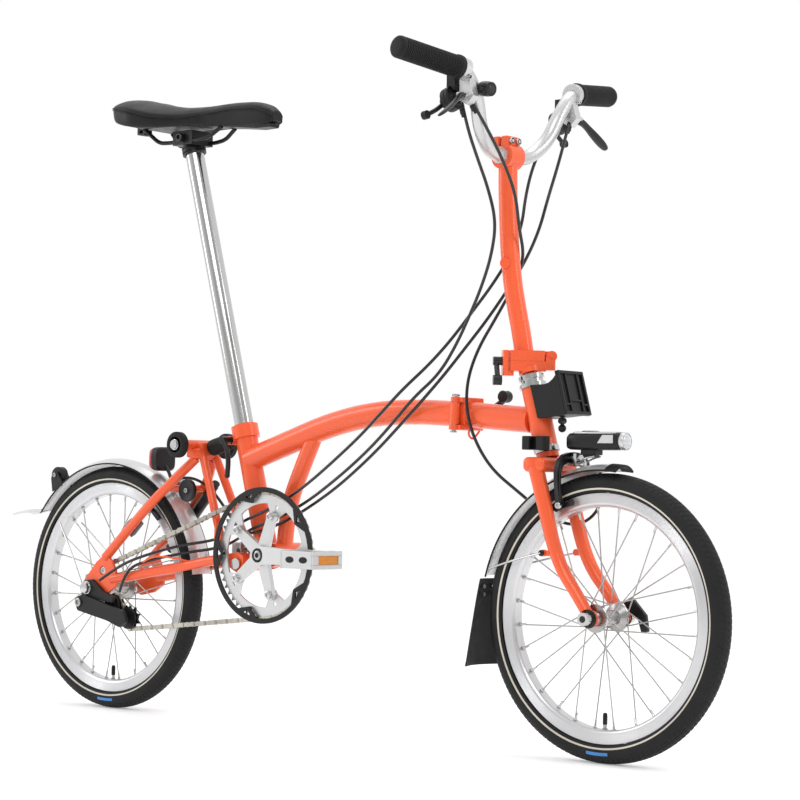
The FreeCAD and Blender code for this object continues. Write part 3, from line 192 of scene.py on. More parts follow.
def bumped(tree, shader, value, strength, distance):
    bump = make_node(tree, "Bump", inputs={"Strength": strength, "Distance": distance, "Height": value})
    tree.links.new(bump.outputs["Normal"], shader.inputs["Normal"])


def darker(colour, share):
    return tuple(c * share for c in colour)


def finish(name, colour, rough, metal=0.0, shade=0.82, grain=400.0, strength=0.15, depth=0.0002, coat=0.0,
           swing=0.05, specular=0.5):
    """A surface whose colour and gloss drift slightly over patches, with a fine grain in its bump."""
    material, tree, shader = node_material(name, colour, rough, metal)
    set_inputs(shader, Specular_IOR_Level=specular)
    space = texture_space(tree)
    patches = noise_of(tree, space, PATCH_SCALE, 4)
    tint = make_ramp(tree, patches, ((0.35, darker(colour, shade)), (0.65, colour)))
    tree.links.new(tint, shader.inputs["Base Color"])
    smudges = noise_of(tree, space, PATCH_SCALE * 5, 5)
    gloss = ranged(tree, smudges, max(0.02, rough - swing), rough + swing)
    tree.links.new(gloss, shader.inputs["Roughness"])
    bumped(tree, shader, noise_of(tree, space, grain, 5), strength, depth)
    if coat:
        set_inputs(shader, Coat_Weight=coat, Coat_Roughness=0.04)
    return material


def leather(name, colour, rough):
    """Fine pebbled grain, with small creases and a gloss that varies."""
    material, tree, shader = node_material(name, colour, rough, 0)
    space = texture_space(tree)
    cells = make_node(tree, "TexVoronoi", feature="DISTANCE_TO_EDGE", inputs={"Scale": 620, "Vector": space})
    broad = noise_of(tree, space, 45, 5)
    total = make_node(tree, "Math", operation="MULTIPLY_ADD",
                      inputs={0: cells.outputs["Distance"], 1: 0.55, 2: broad})
    bumped(tree, shader, total.outputs["Value"], 0.35, 0.0006)
    tree.links.new(ranged(tree, broad, rough - 0.09, rough + 0.09), shader.inputs["Roughness"])
    tint = make_ramp(tree, broad, ((0, darker(colour, 0.7)), (1, darker(colour, 1.5))))
    tree.links.new(tint, shader.inputs["Base Color"])
    set_inputs(shader, Specular_IOR_Level=0.28)
    return material


def clear(name, colour, rough, cells_scale=260.0):
    """Moulded clear plastic with a prism pattern behind its face."""
    material, tree, shader = node_material(name, colour, rough, 0, 1.49)
    set_inputs(shader, Transmission_Weight=0.3, Coat_Weight=0.25, Specular_IOR_Level=0.3)
    cells = make_node(tree, "TexVoronoi",
                      inputs={"Scale": cells_scale, "Randomness": 0, "Vector": texture_space(tree)})
    bumped(tree, shader, cells.outputs["Distance"], 0.6, 0.001)
    tint = make_ramp(tree, cells.outputs["Distance"], ((0, colour), (1, darker(colour, 0.6))))
    tree.links.new(tint, shader.inputs["Base Color"])
    return material


FINISH = {name: finish(name, colour, rough, **more) for name, colour, rough, more in (
    ("orange_paint", (0.84, 0.105, 0.026), 0.34,
     dict(shade=0.96, grain=900, strength=0.02, coat=0.5, swing=0.02, specular=0.3)),
    ("silver_alloy", (0.60, 0.60, 0.605), 0.36,
     dict(metal=0.8, shade=0.96, grain=900, strength=0.012, swing=0.02)),
    ("black_alloy", (0.009, 0.009, 0.010), 0.30, dict(grain=900, strength=0.03, swing=0.03, specular=0.4)),
    ("polished_steel", (0.55, 0.55, 0.545), 0.15,
     dict(metal=1.0, shade=0.97, grain=900, strength=0.008, swing=0.015)),
    ("steel", (0.42, 0.41, 0.40), 0.28, dict(metal=1.0, shade=0.9, grain=700, strength=0.03, swing=0.03)),
    ("black_plastic", (0.007, 0.007, 0.008), 0.40, dict(grain=1500, strength=0.12, specular=0.3)),
    ("black_rubber", (0.009, 0.009, 0.009), 0.62, dict(grain=900, strength=0.25, specular=0.25)),
    ("tyre_rubber", (0.011, 0.011, 0.012), 0.62, dict(grain=1300, strength=0.3, depth=0.0003, specular=0.25)),
    ("cable_sleeve", (0.008, 0.008, 0.009), 0.28, dict(grain=600, strength=0.03, coat=0.3, specular=0.35)),
    ("rim_wall", (0.62, 0.62, 0.63), 0.30,
     dict(metal=0.85, shade=0.97, grain=900, strength=0.03, swing=0.02)),
    ("guard_shell", (0.64, 0.64, 0.645), 0.30,
     dict(metal=0.6, shade=0.98, grain=900, strength=0.006, coat=0.3, swing=0.015)),
    ("reflex_strip", (0.62, 0.58, 0.49), 0.4, dict(grain=2500, strength=0.4)),
    ("blue_patch", (0.05, 0.25, 0.62), 0.5, dict(grain=1200, strength=0.2)),
    ("grey_plastic", (0.20, 0.20, 0.21), 0.5, dict(grain=1500, strength=0.2)),
    ("chain_steel", (0.52, 0.49, 0.43), 0.3, dict(metal=1.0, shade=0.65, grain=700, strength=0.08)),
)}
FINISH.update({
    "saddle_leather": leather("saddle_leather", (0.0045, 0.0045, 0.005), 0.40),
    "amber": clear("amber_reflector", (0.95, 0.34, 0.008), 0.2),
    "red": clear("red_reflector", (0.62, 0.01, 0.01), 0.15),
    "glass": clear("lamp_glass", (0.93, 0.94, 0.95), 0.08, 160),
})


# Meshes


def ring(centre, u, v, radius, count):
    """Points round a circle, in the plane of two unit vectors."""
    turns = [2 * math.pi * i / count for i in range(count)]
    return [centre + (u * math.cos(turn) + v * math.sin(turn)) * radius for turn in turns]


class Shell:
    """Points and faces gathered from several forms and made into one piece at the end."""

    def __init__(self):
        self.points = []
        self.faces = []

    def add(self, points, faces):
        base = len(self.points)
        self.points += [tuple(p) for p in points]
        self.faces += [tuple(base + i for i in face) for face in faces]
        return self

    def rings(self, rows, loop=False):
        """Join rows of points, each row a closed ring. The last row meets the first if loop is set."""
        count = len(rows[0])
        faces = []
        for i in range(len(rows) if loop else len(rows) - 1):
            low, high = i * count, (i + 1) % len(rows) * count
            for j in range(count):
                k = (j + 1) % count
                faces.append((low + j, low + k, high + k, high + j))
        if not loop:
            faces.append(tuple(reversed(range(count))))
            faces.append(tuple(range((len(rows) - 1) * count, len(rows) * count)))
        return self.add([p for row in rows for p in row], faces)

    def lathe(self, centre, axis, profile, segments=40, loop=False):
        """Turn (radius, distance) pairs, in millimetres, about an axis through the centre."""
        axis = axis.normalized()
        u = axis.orthogonal().normalized()
        v = axis.cross(u)
        rows = [ring(centre + axis * (distance * MM), u, v, max(radius, 0.02) * MM, segments)
                for radius, distance in profile]
        return self.rings(rows, loop)

    def tube(self, line, radius, segments=12):
        """A round bar along a line, with its radius in millimetres."""
        across = None
        rows = []
        for i, point in enumerate(line):
            along = (line[min(i + 1, len(line) - 1)] - line[max(i - 1, 0)]).normalized()
            across = along.orthogonal() if across is None else across - along * across.dot(along)
            across.normalize()
            rows.append(ring(point, across, along.cross(across), radius * MM, segments))
        return self.rings(rows)

    def prism(self, outline, depth):
        """Push a flat outline of points along a vector."""
        return self.rings([outline, [p + depth for p in outline]])

    def box(self, low, high):
        """A box between two corners given in millimetres."""
        (x0, y0, z0), (x1, y1, z1) = low, high
        outline = spots([(x0, y0, z0), (x1, y0, z0), (x1, y1, z0), (x0, y1, z0)])
        return self.prism(outline, UP * ((z1 - z0) * MM))

    def slab(self, outline, y_low, y_high):
        """A plate cut to a side-view outline of (x, z) pairs, between two widths."""
        return self.prism([spot(x, y_low, z) for x, z in outline], ACROSS * ((y_high - y_low) * MM))

    def bolt(self, place, way, radius=4.0, height=3.5):
        """A socket-headed bolt's head, standing on a face."""
        inner = radius * 0.5
        profile = [(0, height * 0.35), (inner, height * 0.35), (inner * 1.08, height),
                   (radius * 0.86, height), (radius, height * 0.82), (radius, 0)]
        return self.lathe(place, way, profile, 24)

    def make(self, name, look, body, bevel=0.0, sharp=34, subdivide=0, replaces=()):
        mesh = bpy.data.meshes.new(name)
        mesh.from_pydata(self.points, [], self.faces)
        form = bmesh.new()
        form.from_mesh(mesh)
        bmesh.ops.recalc_face_normals(form, faces=form.faces)
        form.to_mesh(mesh)
        form.free()
        mesh.shade_smooth()
        mesh.set_sharp_from_angle(angle=math.radians(sharp))
        mesh.materials.append(FINISH[look])
        piece = bpy.data.objects.new(name, mesh)
        bpy.context.scene.collection.objects.link(piece)
        if bevel:
            soft = piece.modifiers.new("edges", "BEVEL")
            soft.width = bevel * MM
            soft.segments = 2
            soft.limit_method = "ANGLE"
            soft.angle_limit = math.radians(35)
            soft.harden_normals = True
        if subdivide:
            smooth = piece.modifiers.new("smooth", "SUBSURF")
            smooth.levels = smooth.render_levels = subdivide
        if body:
            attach(piece, body)
        for node in replaces:
            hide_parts(node)
        return piece


def curved(points, steps=10):
    """A smooth line through a few points."""
    ends = [points[0] * 2 - points[1]] + list(points) + [points[-1] * 2 - points[-2]]
    line = []
    for a, b, c, d in zip(ends, ends[1:], ends[2:], ends[3:]):
        for i in range(steps):
            t = i / steps
            line.append(0.5 * (2 * b + (c - a) * t + (2 * a - 5 * b + 4 * c - d) * t * t
                               + (3 * b - a - 3 * c + d) * t ** 3))
    return line + [points[-1]]


def around(centre, angle, radius, y):
    """A point round an axle: the angle goes up from forwards, in degrees."""
    x, _, z = centre
    turn = math.radians(angle)
    return spot(x + radius * math.cos(turn), y, z + radius * math.sin(turn))


# Wheels


def tyre(name, centre, body):
    """A tyre with a fine cut tread, ribbed walls and closed inner side."""
    outer = [math.radians(a) for a in np.linspace(-127, 127, 61)]
    inner = [math.radians(a) for a in np.linspace(120, -120, 13)]
    angles = np.arange(TREAD_STEPS) * (2 * math.pi / TREAD_STEPS)
    rows = []
    for i, angle in enumerate(angles):
        row = []
        for turn in outer:
            tilt = abs(math.degrees(turn))
            depth = 0.0
            if tilt < 58:
                phase = (i + 0.09 * tilt * (1 if turn > 0 else -1) + (3 if turn > 0 else 0)) % 6
                depth = 0.9 if phase < 1.6 and tilt > 7 else 0.0
                if 17 < tilt < 21 or 38 < tilt < 41:
                    depth = 0.8
            elif 93 < tilt < 101 or 113 < tilt < 116:
                depth = -0.25
            reach = TYRE_SECTION - depth
            row.append((TYRE_MIDDLE + reach * math.cos(turn), reach * math.sin(turn)))
        row += [(TYRE_MIDDLE + TYRE_INSIDE * math.cos(turn), TYRE_INSIDE * math.sin(turn)) for turn in inner]
        rows.append([around(centre, math.degrees(angle), r, y) for r, y in row])
    Shell().rings(rows, loop=True).make(name + "_tyre_rubber", "tyre_rubber", body, sharp=40,
                                        replaces=[name + "_tyre"])
    strip, patch = Shell(), Shell()
    reach = TYRE_SECTION + 0.3
    for side, _ in SIDES:
        band = [math.radians(a) for a in (102.5, 106.5, 111)]
        profile = [(TYRE_MIDDLE + reach * math.cos(a), side * reach * math.sin(a)) for a in band]
        profile += [(r - 0.2, y - side * 0.8) for r, y in reversed(profile)]
        strip.lathe(spot(*centre), ACROSS, profile, 240, loop=True)
        label = [math.radians(a) for a in (74, 79, 84, 89)]
        rows = []
        for angle in np.linspace(-96, -85, 12):
            outside = [(TYRE_MIDDLE + reach * math.cos(a), side * reach * math.sin(a)) for a in label]
            inside = [(TYRE_MIDDLE + 16 * math.cos(a), side * 16 * math.sin(a)) for a in reversed(label)]
            rows.append([around(centre, angle, r, y) for r, y in outside + inside])
        patch.rings(rows)
    strip.make(name + "_tyre_strip", "reflex_strip", body)
    patch.make(name + "_tyre_patch", "blue_patch", body)
    x, y, z = centre
    foot = spot(x, y, z - 160.3)
    Shell().lathe(foot, UP, [(3.9, 0), (3.9, 1.6), (2.9, 2.2), (2.9, 8)], 20).make(
        name + "_valve_stem", "steel", body)
    Shell().lathe(foot, UP, [(3.3, 7), (3.5, 8), (3.5, 20), (2.8, 23.5), (1, 24)], 20).make(
        name + "_valve_cap", "black_plastic", body)


def rim(name, centre, body):
    """A box rim with a machined brake track, and a nipple where each spoke comes in."""
    half = [(160.5, 4), (160.6, 8), (162, 10.2), (165, 12.0), (166.5, 12.3)]
    for radius in np.linspace(167.4, 179.4, 13):
        half += [(radius - 0.25, 12.3), (radius, 12.14), (radius + 0.25, 12.3)]
    half += [(180.4, 12.3), (181, 11.9), (181, 10.9), (177, 10.8), (175, 6)]
    profile = half + [(radius, -side) for radius, side in reversed(half)]
    Shell().lathe(spot(*centre), ACROSS, profile, 256, loop=True).make(
        name + "_rim_shell", "rim_wall", body, sharp=30, replaces=[name + "_rim"])
    nipples, eyelets = Shell(), Shell()
    per_side = SPOKES // 2
    for side, _ in SIDES:
        for i in range(per_side):
            lead = 1 if i % 2 else -1
            turn = 360 * (i + 0.25 * side) / per_side
            y = side * (1.6 + 1.1 * lead)
            inward = -Vector((math.cos(math.radians(turn)), 0, math.sin(math.radians(turn))))
            bed = around(centre, turn, 160.5, y)
            nipples.lathe(bed, inward, [(2.1, -0.4), (2.1, 4), (1.7, 5), (1.5, 11), (1.1, 12)], 12)
            eyelets.lathe(bed, inward, [(3.6, -0.3), (3.6, 0.5), (3.0, 0.9), (2.2, 0.9)], 16)
    nipples.make(name + "_nipples", "polished_steel", body)
    eyelets.make(name + "_eyelets", "steel", body)


def hub_dress(name, centre, body, half, flange, flange_r):
    """Polished rings over the plain hub, one round each flange and one near each end."""
    parts = Shell()
    for side, _ in SIDES:
        way = ACROSS * side
        for r, low, high in ((flange_r + 0.3, flange - 1.1, flange + 1.1), (10.4, half - 6, half - 2.2)):
            profile = [(r, low), (r + 0.5, low + 0.4), (r + 0.5, high - 0.4), (r, high)]
            parts.lathe(spot(*centre), way, profile, 48)
    parts.make(name + "_hub_rings", "polished_steel", body)


# Mudguards


def guard_band(centre, start, end, half, radius, lift=0.0, thick=1.6):
    """Rows of a thin arched band round a wheel."""
    steps = max(6, int((end - start) / 2))
    across = np.linspace(-1, 1, 15)
    rows = []
    for angle in np.linspace(start, end, steps):
        top = [(radius + lift - 9 * s * s, half * s) for s in across]
        low = [(radius + lift - thick - 9 * s * s, (half - 0.8) * s) for s in reversed(across)]
        rows.append([around(centre, angle, r, y) for r, y in top + low])
    return rows


def mudguard(name, centre, start, end, half, radius, body):
    Shell().rings(guard_band(centre, start, end, half, radius)).make(
        name + "_mudguard_shell", "guard_shell", body, sharp=50, replaces=[name + "_mudguard"])
    trim = Shell()
    for side, _ in SIDES:
        line = [around(centre, a, radius - 9.6, side * half) for a in np.linspace(start, end, 60)]
        trim.tube(line, 1.35, 10)
    trim.make(name + "_mudguard_edging", "black_rubber", body)


def front_guard():
    mudguard("front", FRONT_AXLE, 84, 166, 22.5, 223, STEER)
    Shell().rings(guard_band(FRONT_AXLE, 82.5, 88, 23, 223, 0.7, 3)).make(
        "front_mudguard_tip", "black_rubber", STEER, bevel=0.6)
    rows = []
    for t in np.linspace(0, 1, 18):
        half = 21 + 21 * t ** 0.85
        z = 258 - 131 * t
        x = 824 - 16 * t
        bow = 5 + 7 * t
        across = np.linspace(-1, 1, 17)
        hem = 0.8 if t > 0.95 else 0.0
        front = [spot(x + bow * s * s + hem, half * s, z) for s in across]
        back = [spot(x + bow * s * s - 2.3 - hem, half * s, z) for s in reversed(across)]
        rows.append(front + back)
    Shell().rings(rows).make("front_flap_rubber", "black_rubber", STEER, sharp=50,
                             replaces=["front_flap"])
    clamps = Shell()
    for y in (-11, 11):
        for z in (246, 234):
            clamps.bolt(spot(827.5, y, z), -FORWARD, 3.2, 2)
    clamps.make("front_flap_rivets", "steel", STEER)


def rear_guard():
    mudguard("rear", REAR_AXLE, 8, 144, 23, 223.5, REAR)
    rows = []
    for t in np.linspace(0, 1, 12):
        half = 21 + 3 * t
        x = -180 - 70 * t
        z = 337 - 4 * t + 3 * math.sin(math.pi * t)
        across = np.linspace(-1, 1, 13)
        top = [spot(x, half * s, z + 2.4 - 5 * s * s) for s in across]
        low = [spot(x, half * s, z - 5 * s * s) for s in reversed(across)]
        rows.append(top + low)
    Shell().rings(rows).make("rear_flap_sheet", "guard_shell", REAR, sharp=50)
    Shell().bolt(spot(-186, -9, 339), UP, 3, 2).bolt(spot(-186, 9, 339), UP, 3, 2).make(
        "rear_flap_rivets", "steel", REAR)


# Saddle


SADDLE = (
    # x, half width, top, bottom, drop of the shoulder below the top
    (27, 50, 1047, 1028, 11),
    (36, 64, 1052, 1019, 15),
    (48, 73, 1055, 1012, 20),
    (85, 76, 1050.5, 1004, 24),
    (125, 65, 1039.5, 1002, 24),
    (170, 44.5, 1031, 1003, 20),
    (220, 30, 1029, 1000, 14),
    (280, 23, 1030.5, 994, 11),
    (330, 19.5, 1027.5, 988, 10),
    (356, 16.5, 1019, 988, 9),
    (368, 12.5, 1009, 991, 7),
)


def saddle_row(x, scale=1.0):
    """One ring round the seat's cover, with its crowned top, rolled shoulders and tucked-in skirt."""
    stations = np.array(SADDLE, float)
    half, top, bottom, drop = (np.interp(x, stations[:, 0], stations[:, k]) for k in range(1, 5))
    middle = (top + bottom) / 2
    row = []
    for s in np.linspace(-1, 1, CROWN_STEPS):
        fall = drop * abs(s) ** 2.6
        dip = 1.6 * math.exp(-(s / 0.16) ** 2) * (1 if 60 < x < 300 else 0.3)
        row.append((half * s, top - fall - dip))
    skirt = np.interp(x, (27, 60, 140, 230, 300, 368), (3, 9, 11, 8, 5, 1))
    side = []
    for t in (0.35, 0.7, 1.0):
        side.append((half * (1 + 0.02 * math.sin(math.pi * t) - 0.06 * t),
                     top - drop + (bottom - skirt - top + drop) * t))
    row += side + [(half * 0.88, bottom + 0.5)]
    for s in np.linspace(0.8, -0.8, 7):
        row.append((half * s, bottom + 1.5))
    row += [(-half * 0.88, bottom + 0.5)] + [(-y, z) for y, z in reversed(side)]
    return [spot(x, y * scale, middle + (z - middle) * scale) for y, z in row]


def saddle_edge(x, side, out, down):
    """A point by the seat's rolled edge, moved out and down in metres."""
    return saddle_row(x)[0 if side < 0 else CROWN_STEPS - 1] + Vector((0, side * out, -down))


def saddle():
    xs = [27, 30, 36, 48, 66, 85, 105, 125, 147, 170, 195, 220, 250, 280, 305, 330, 345, 356, 364, 368]
    rows = [saddle_row(27, 0.55), saddle_row(27, 0.86)] + [saddle_row(x) for x in xs]
    rows += [saddle_row(368, 0.8), saddle_row(368, 0.4)]
    shape = Shell().rings(rows)
    cover = shape.make("saddle_pad", "saddle_leather", "seat", sharp=180, subdivide=1,
                       replaces=["saddle_cover"])
    seams = Shell()
    for side, _ in SIDES:
        seams.tube([saddle_edge(x, side, 0.0002, 0.0028) for x in np.linspace(32, 366, 90)], 1.0, 8)
    seams.make("saddle_piping", "black_rubber", "seat")
    stitches = Shell()
    for side, _ in SIDES:
        for x in np.arange(36, 362, 5.0):
            place = saddle_edge(x, side, 0.0001, 0.0060)
            stitches.tube([place - FORWARD * 0.0014, place + FORWARD * 0.0014], 0.45, 6)
    stitches.make("saddle_stitching", "black_plastic", "seat")
    clamp = Shell()
    for side, _ in SIDES:
        clamp.bolt(spot(168, side * 29, 978), ACROSS * side, 7.5, 5)
    for z in (952.5, 956, 959.5, 963):
        x = 335.9 + (383 - z) * math.tan(LEAN)
        axis = Vector((-math.sin(LEAN), 0, math.cos(LEAN)))
        clamp.lathe(spot(x, 0, z), axis, [(19.2, -1.1), (20.4, -0.5), (20.4, 0.5), (19.2, 1.1)], 48)
    clamp.make("saddle_clamp_rings", "black_alloy", "seat")


# Handlebar


def bar_end(side, along):
    tip = spot(849.6, side * 258, 1022.3)
    run = (spot(871, side * 132, 1006) - tip).normalized()
    return tip + run * (along * MM), run


def grips():
    shape = Shell()
    for side, _ in SIDES:
        start, run = bar_end(side, 0)
        profile = [(0, -4.5), (9, -4.4), (14, -3.6), (16, -1.5), (16.6, 1)]
        for i in range(34):
            s = 3 + i * 3.1
            profile += [(16.6, s), (16.5, s + 1.7), (15.7, s + 2.1), (15.7, s + 2.7)]
        profile += [(16.6, 109), (18, 110), (18.2, 114), (17.6, 117.5), (11.4, 117.8)]
        shape.lathe(start, run, profile, 48)
    shape.make("grip_sleeves", "black_rubber", STEM, sharp=40, replaces=["grips"])


def cockpit():
    bolts = Shell()
    for side in (-8, 8):
        bolts.bolt(spot(861, side, 917.5), FORWARD, 4.9, 5)
    for side, _ in SIDES:
        place, run = bar_end(side, 124.5)
        bolts.bolt(place + Vector((0.012, 0, -0.012)), Vector((1, 0, -0.6)), 3.2, 3)
    bolts.make("cockpit_bolts", "polished_steel", STEM)
    barrels = Shell()
    for side, _ in SIDES:
        end = spot(874, side * 124, 960)
        way = (spot(884, side * 96, 925) - spot(876, side * 118, 957)).normalized()
        profile = [(4.4, 0), (4.4, 4), (3.6, 4.6), (3.6, 7), (4.3, 7.6), (4.3, 15), (3.2, 16), (3.2, 20)]
        barrels.lathe(end, way, profile, 20)
        pod = spot(851, side * 115, 959)
        way = (spot(845, side * 93, 926) - spot(851, side * 111, 956)).normalized()
        barrels.lathe(pod, way, profile, 20)
    barrels.make("cable_adjusters", "black_plastic", STEM)
    forward = Vector((0.958, 0, 0.285))
    for side, word in SIDES:
        cover = Shell().slab([(863.2, 998.6), (878.6, 998.6), (888.8, 966), (876.2, 953.2), (861.2, 961.8)],
                             side * 127 - 6.7, side * 127 + 6.7)
        place, run = bar_end(side, 0)
        cover.lathe(place, run, [(15.8, 118.6), (16.3, 119.2), (16.3, 129.8), (15.8, 130.4)], 40)
        cover.make("brake_bracket_" + word, "silver_alloy", STEM, bevel=0.8)
        line = spots([(x, side * y, z) for x, y, z in (
            (876, 141, 966), (878, 151, 964), (880, 160, 958), (882, 171, 950), (884, 184, 941),
            (885, 197, 933), (885, 207, 927))])
        wide, thick = (7.5, 6.2, 5.6, 7.4, 8.2, 8.0, 4.6), (6, 4.6, 3.6, 3.2, 3.0, 3.0, 2.2)
        rows = []
        for i, point in enumerate(line):
            along = (line[min(i + 1, 6)] - line[max(i - 1, 0)]).normalized()
            normal = along.cross(forward).normalized()
            rows.append([point + forward * (math.cos(a) * wide[i] * MM)
                         + normal * (math.sin(a) * thick[i] * MM)
                         for a in np.linspace(0, 2 * math.pi, 24, endpoint=False)])
        Shell().rings(rows).make("brake_blade_" + word, "black_alloy", "lever_" + word, sharp=70, subdivide=1,
                                 replaces=["brake_lever_" + word])
    dials = Shell()
    axis = Vector((0.949, 0, 0.316))
    for side, _ in SIDES:
        base = spot(840, side * 133, 962)
        profile = [(17, 15), (18.6, 13.5), (18.6, 9), (17.9, 8), (18.6, 7), (18.6, 2), (17, 0.5)]
        dials.lathe(base, axis, profile, 48)
        dials.lathe(base, axis, [(0, 17.2), (10, 17), (14, 15.6), (15, 14.5)], 40)
    dials.make("shifter_caps", "black_plastic", STEM)
    bell = Shell()
    middle = (spot(884, -107, 980) + spot(903, -110, 977)) / 2
    way = (spot(903, -110, 977) - spot(884, -107, 980)).normalized()
    bell.lathe(middle, way, [(10.6, -8), (11.2, -6), (11.2, 4), (9.5, 8), (5, 10.5), (0, 11)], 36)
    bell.make("bell_dome", "black_alloy", STEM)


# Front fittings


def rounded_row(x, y_half, z_low, z_high, power=4.0, count=32):
    """A ring of a rounded rectangle across the bicycle."""
    middle, tall = (z_low + z_high) / 2, (z_high - z_low) / 2
    row = []
    for i in range(count):
        a = 2 * math.pi * (i + 0.5) / count
        c, s = math.cos(a), math.sin(a)
        row.append(spot(x, y_half * math.copysign(abs(c) ** (2 / power), c),
                        middle + tall * math.copysign(abs(s) ** (2 / power), s)))
    return row


def rounded(stations):
    return Shell().rings([rounded_row(*station) for station in stations])


def front_lamp():
    stations = ((976, 9, 456, 470), (977, 12, 454, 474), (981, 14, 452.6, 477), (1000, 15, 452, 478),
                (1050, 15, 452, 478), (1064, 15, 452.2, 477.6), (1068, 14.6, 452.6, 477),
                (1069, 13, 454, 476))
    rounded(stations).make(
        "lamp_body", "black_plastic", STEER, sharp=32, replaces=["fork_fittings"])
    trim = Shell()
    for side, _ in SIDES:
        trim.slab([(1034, 462), (1062, 462), (1062, 474), (1043, 474)], side * 14.6, side * 15.6)
    trim.make("lamp_trim", "silver_alloy", STEER, bevel=0.4)
    rounded((
        (986, 9, 476, 478.6), (992, 12.5, 475, 479.2), (1058, 13, 475, 479.2), (1064, 11, 476, 478.6))).make(
        "lamp_top", "silver_alloy", STEER, sharp=40)
    button = ((1000, 7, 478.2, 479.9), (1003, 8, 478.2, 480.6),
              (1020, 8, 478.2, 480.6), (1023, 7, 478.2, 479.9))
    rounded(button).make(
        "lamp_button", "grey_plastic", STEER)
    face = spot(1068, 0, 465)
    bezel = [(12.6, 0), (13.2, 4), (13.0, 7), (12.3, 8.4), (11.9, 7.6)]
    Shell().lathe(face, FORWARD, bezel, 48).make("lamp_bezel", "silver_alloy", STEER)
    lens = [(12, 3), (12, 7.6), (9, 9.6), (4.5, 10.3), (0, 10.4)]
    Shell().lathe(face, FORWARD, lens, 48).make("lamp_lens", "glass", STEER, sharp=60)
    cradle = Shell().box((1001, -10, 445), (1027, 10, 453))
    cradle.slab([(1004, 441), (1022, 441), (1026, 447), (1000, 447)], -6, 6)
    cradle.make("lamp_cradle", "black_plastic", STEER, bevel=1)
    wires = Shell()
    for side, _ in SIDES:
        line = spots([(x, side * y, z)
                      for x, y, z in ((996, 3, 432), (1002, 8, 436), (1012, 10, 440.5), (1024, 8, 443))])
        wires.tube(curved(line, 6), 1.5, 10)
    wires.make("lamp_wires", "steel", STEER)


def carrier_block():
    """The moulded block on the head tube, with its ribbed front plate, and the cable clip below it."""
    side_view = [(915, 548), (940, 548.5), (949, 551), (956, 556), (962, 563), (965, 567), (971, 567),
                 (988, 506), (983, 503), (962, 501), (930, 498)]
    Shell().slab(side_view, -22, 22).make("carrier_core", "black_plastic", FRONT, bevel=1.2,
                                          replaces=["head_fittings"])
    slope = Vector((-0.2707, 0, 0.9627))
    out = Vector((0.9627, 0, 0.2707))
    foot = spot(986, 0, 503)

    def panel(shell, y_low, y_high, low, high, base, height):
        corners = [foot + ACROSS * (y * MM) + slope * (v * MM) + out * (base * MM)
                   for y, v in ((y_low, low), (y_high, low), (y_high, high), (y_low, high))]
        return shell.prism(corners, out * (height * MM))

    plate, ribs = Shell(), Shell()
    for area in ((-31, 31, 0, 56), (-31, -4, 56, 62), (4, 31, 56, 62), (-31, 31, 62, 67)):
        panel(plate, *area, -1, 3)
    plate.make("carrier_plate", "black_plastic", FRONT)
    for area in ((-31, 31, 0, 5), (-31, 31, 62, 67), (-31, -26.5, 5, 62), (26.5, 31, 5, 62),
                 (-16, -12.5, 5, 62), (12.5, 16, 5, 62), (-26.5, -16, 14, 17), (16, 26.5, 14, 17),
                 (-12.5, 12.5, 20, 23)):
        panel(ribs, *area, 2, 3.6)
    ribs.make("carrier_ribs", "black_plastic", FRONT, bevel=0.8)
    clip = Shell()
    clip.box((914, -38, 451.5), (928, -21, 472)).box((940, -38, 451.5), (954, -21, 472))
    clip.box((924, -27, 451.5), (944, -20, 472))
    clip.make("cable_clip", "black_plastic", FRONT, bevel=1.6)


def caliper_forgings():
    """The broad forged faces of the front brake's arms."""
    outline = [(-5, 449), (6, 448.5), (20, 445), (31, 436), (37, 420), (36, 402), (33, 384), (31, 370),
               (23.5, 370), (25, 388), (27, 404), (26.5, 418), (22, 428.5), (10, 433.5), (-5, 434)]
    for (side, word), x in zip(SIDES, (972.4, 980.4)):
        corners = [spot(x, side * y, z) for y, z in outline]
        arm = Shell().prism(corners, FORWARD * (7.2 * MM))
        arm.bolt(spot(x + 7.2, side * 28, 376), FORWARD, 4.6, 3).make(
            "front_arm_forging_" + word, "black_alloy", "caliper_front_" + word, bevel=1)


def fork_details():
    hook = [(1040, 232), (1058, 238), (1082, 214), (1086, 190), (1074, 188), (1068, 206), (1048, 222)]
    Shell().slab(hook, 45.2, 51.5).make("wheel_hook", "black_alloy", STEER, bevel=1.2)
    parts = Shell()
    for side, _ in SIDES:
        parts.bolt(spot(960, side * 45.2, 301), ACROSS * side, 4.6, 3.4)
        axle = spot(1045, 0, 209.5)
        parts.lathe(axle, ACROSS * side, [(13.5, 43.6), (13.5, 45.4), (10.8, 45.8), (10.8, 46)], 40)
        parts.lathe(axle, ACROSS * side, [(9.9, 46), (9.9, 55), (8.8, 56.5), (5.6, 57)], 6)
        parts.lathe(axle, ACROSS * side, [(5, 50), (5, 60.5), (4, 61.5), (0, 61.6)], 20)
    parts.make("fork_end_nuts", "black_alloy", STEER, bevel=0.3)
    crown = Shell()
    crown.bolt(spot(995.4, 0, 432), FORWARD, 5.2, 7)
    for side, _ in SIDES:
        crown.bolt(spot(990.4, side * 6, 441), FORWARD, 4.6, 4)
    crown.make("caliper_bolts", "polished_steel", STEER, bevel=0.2)


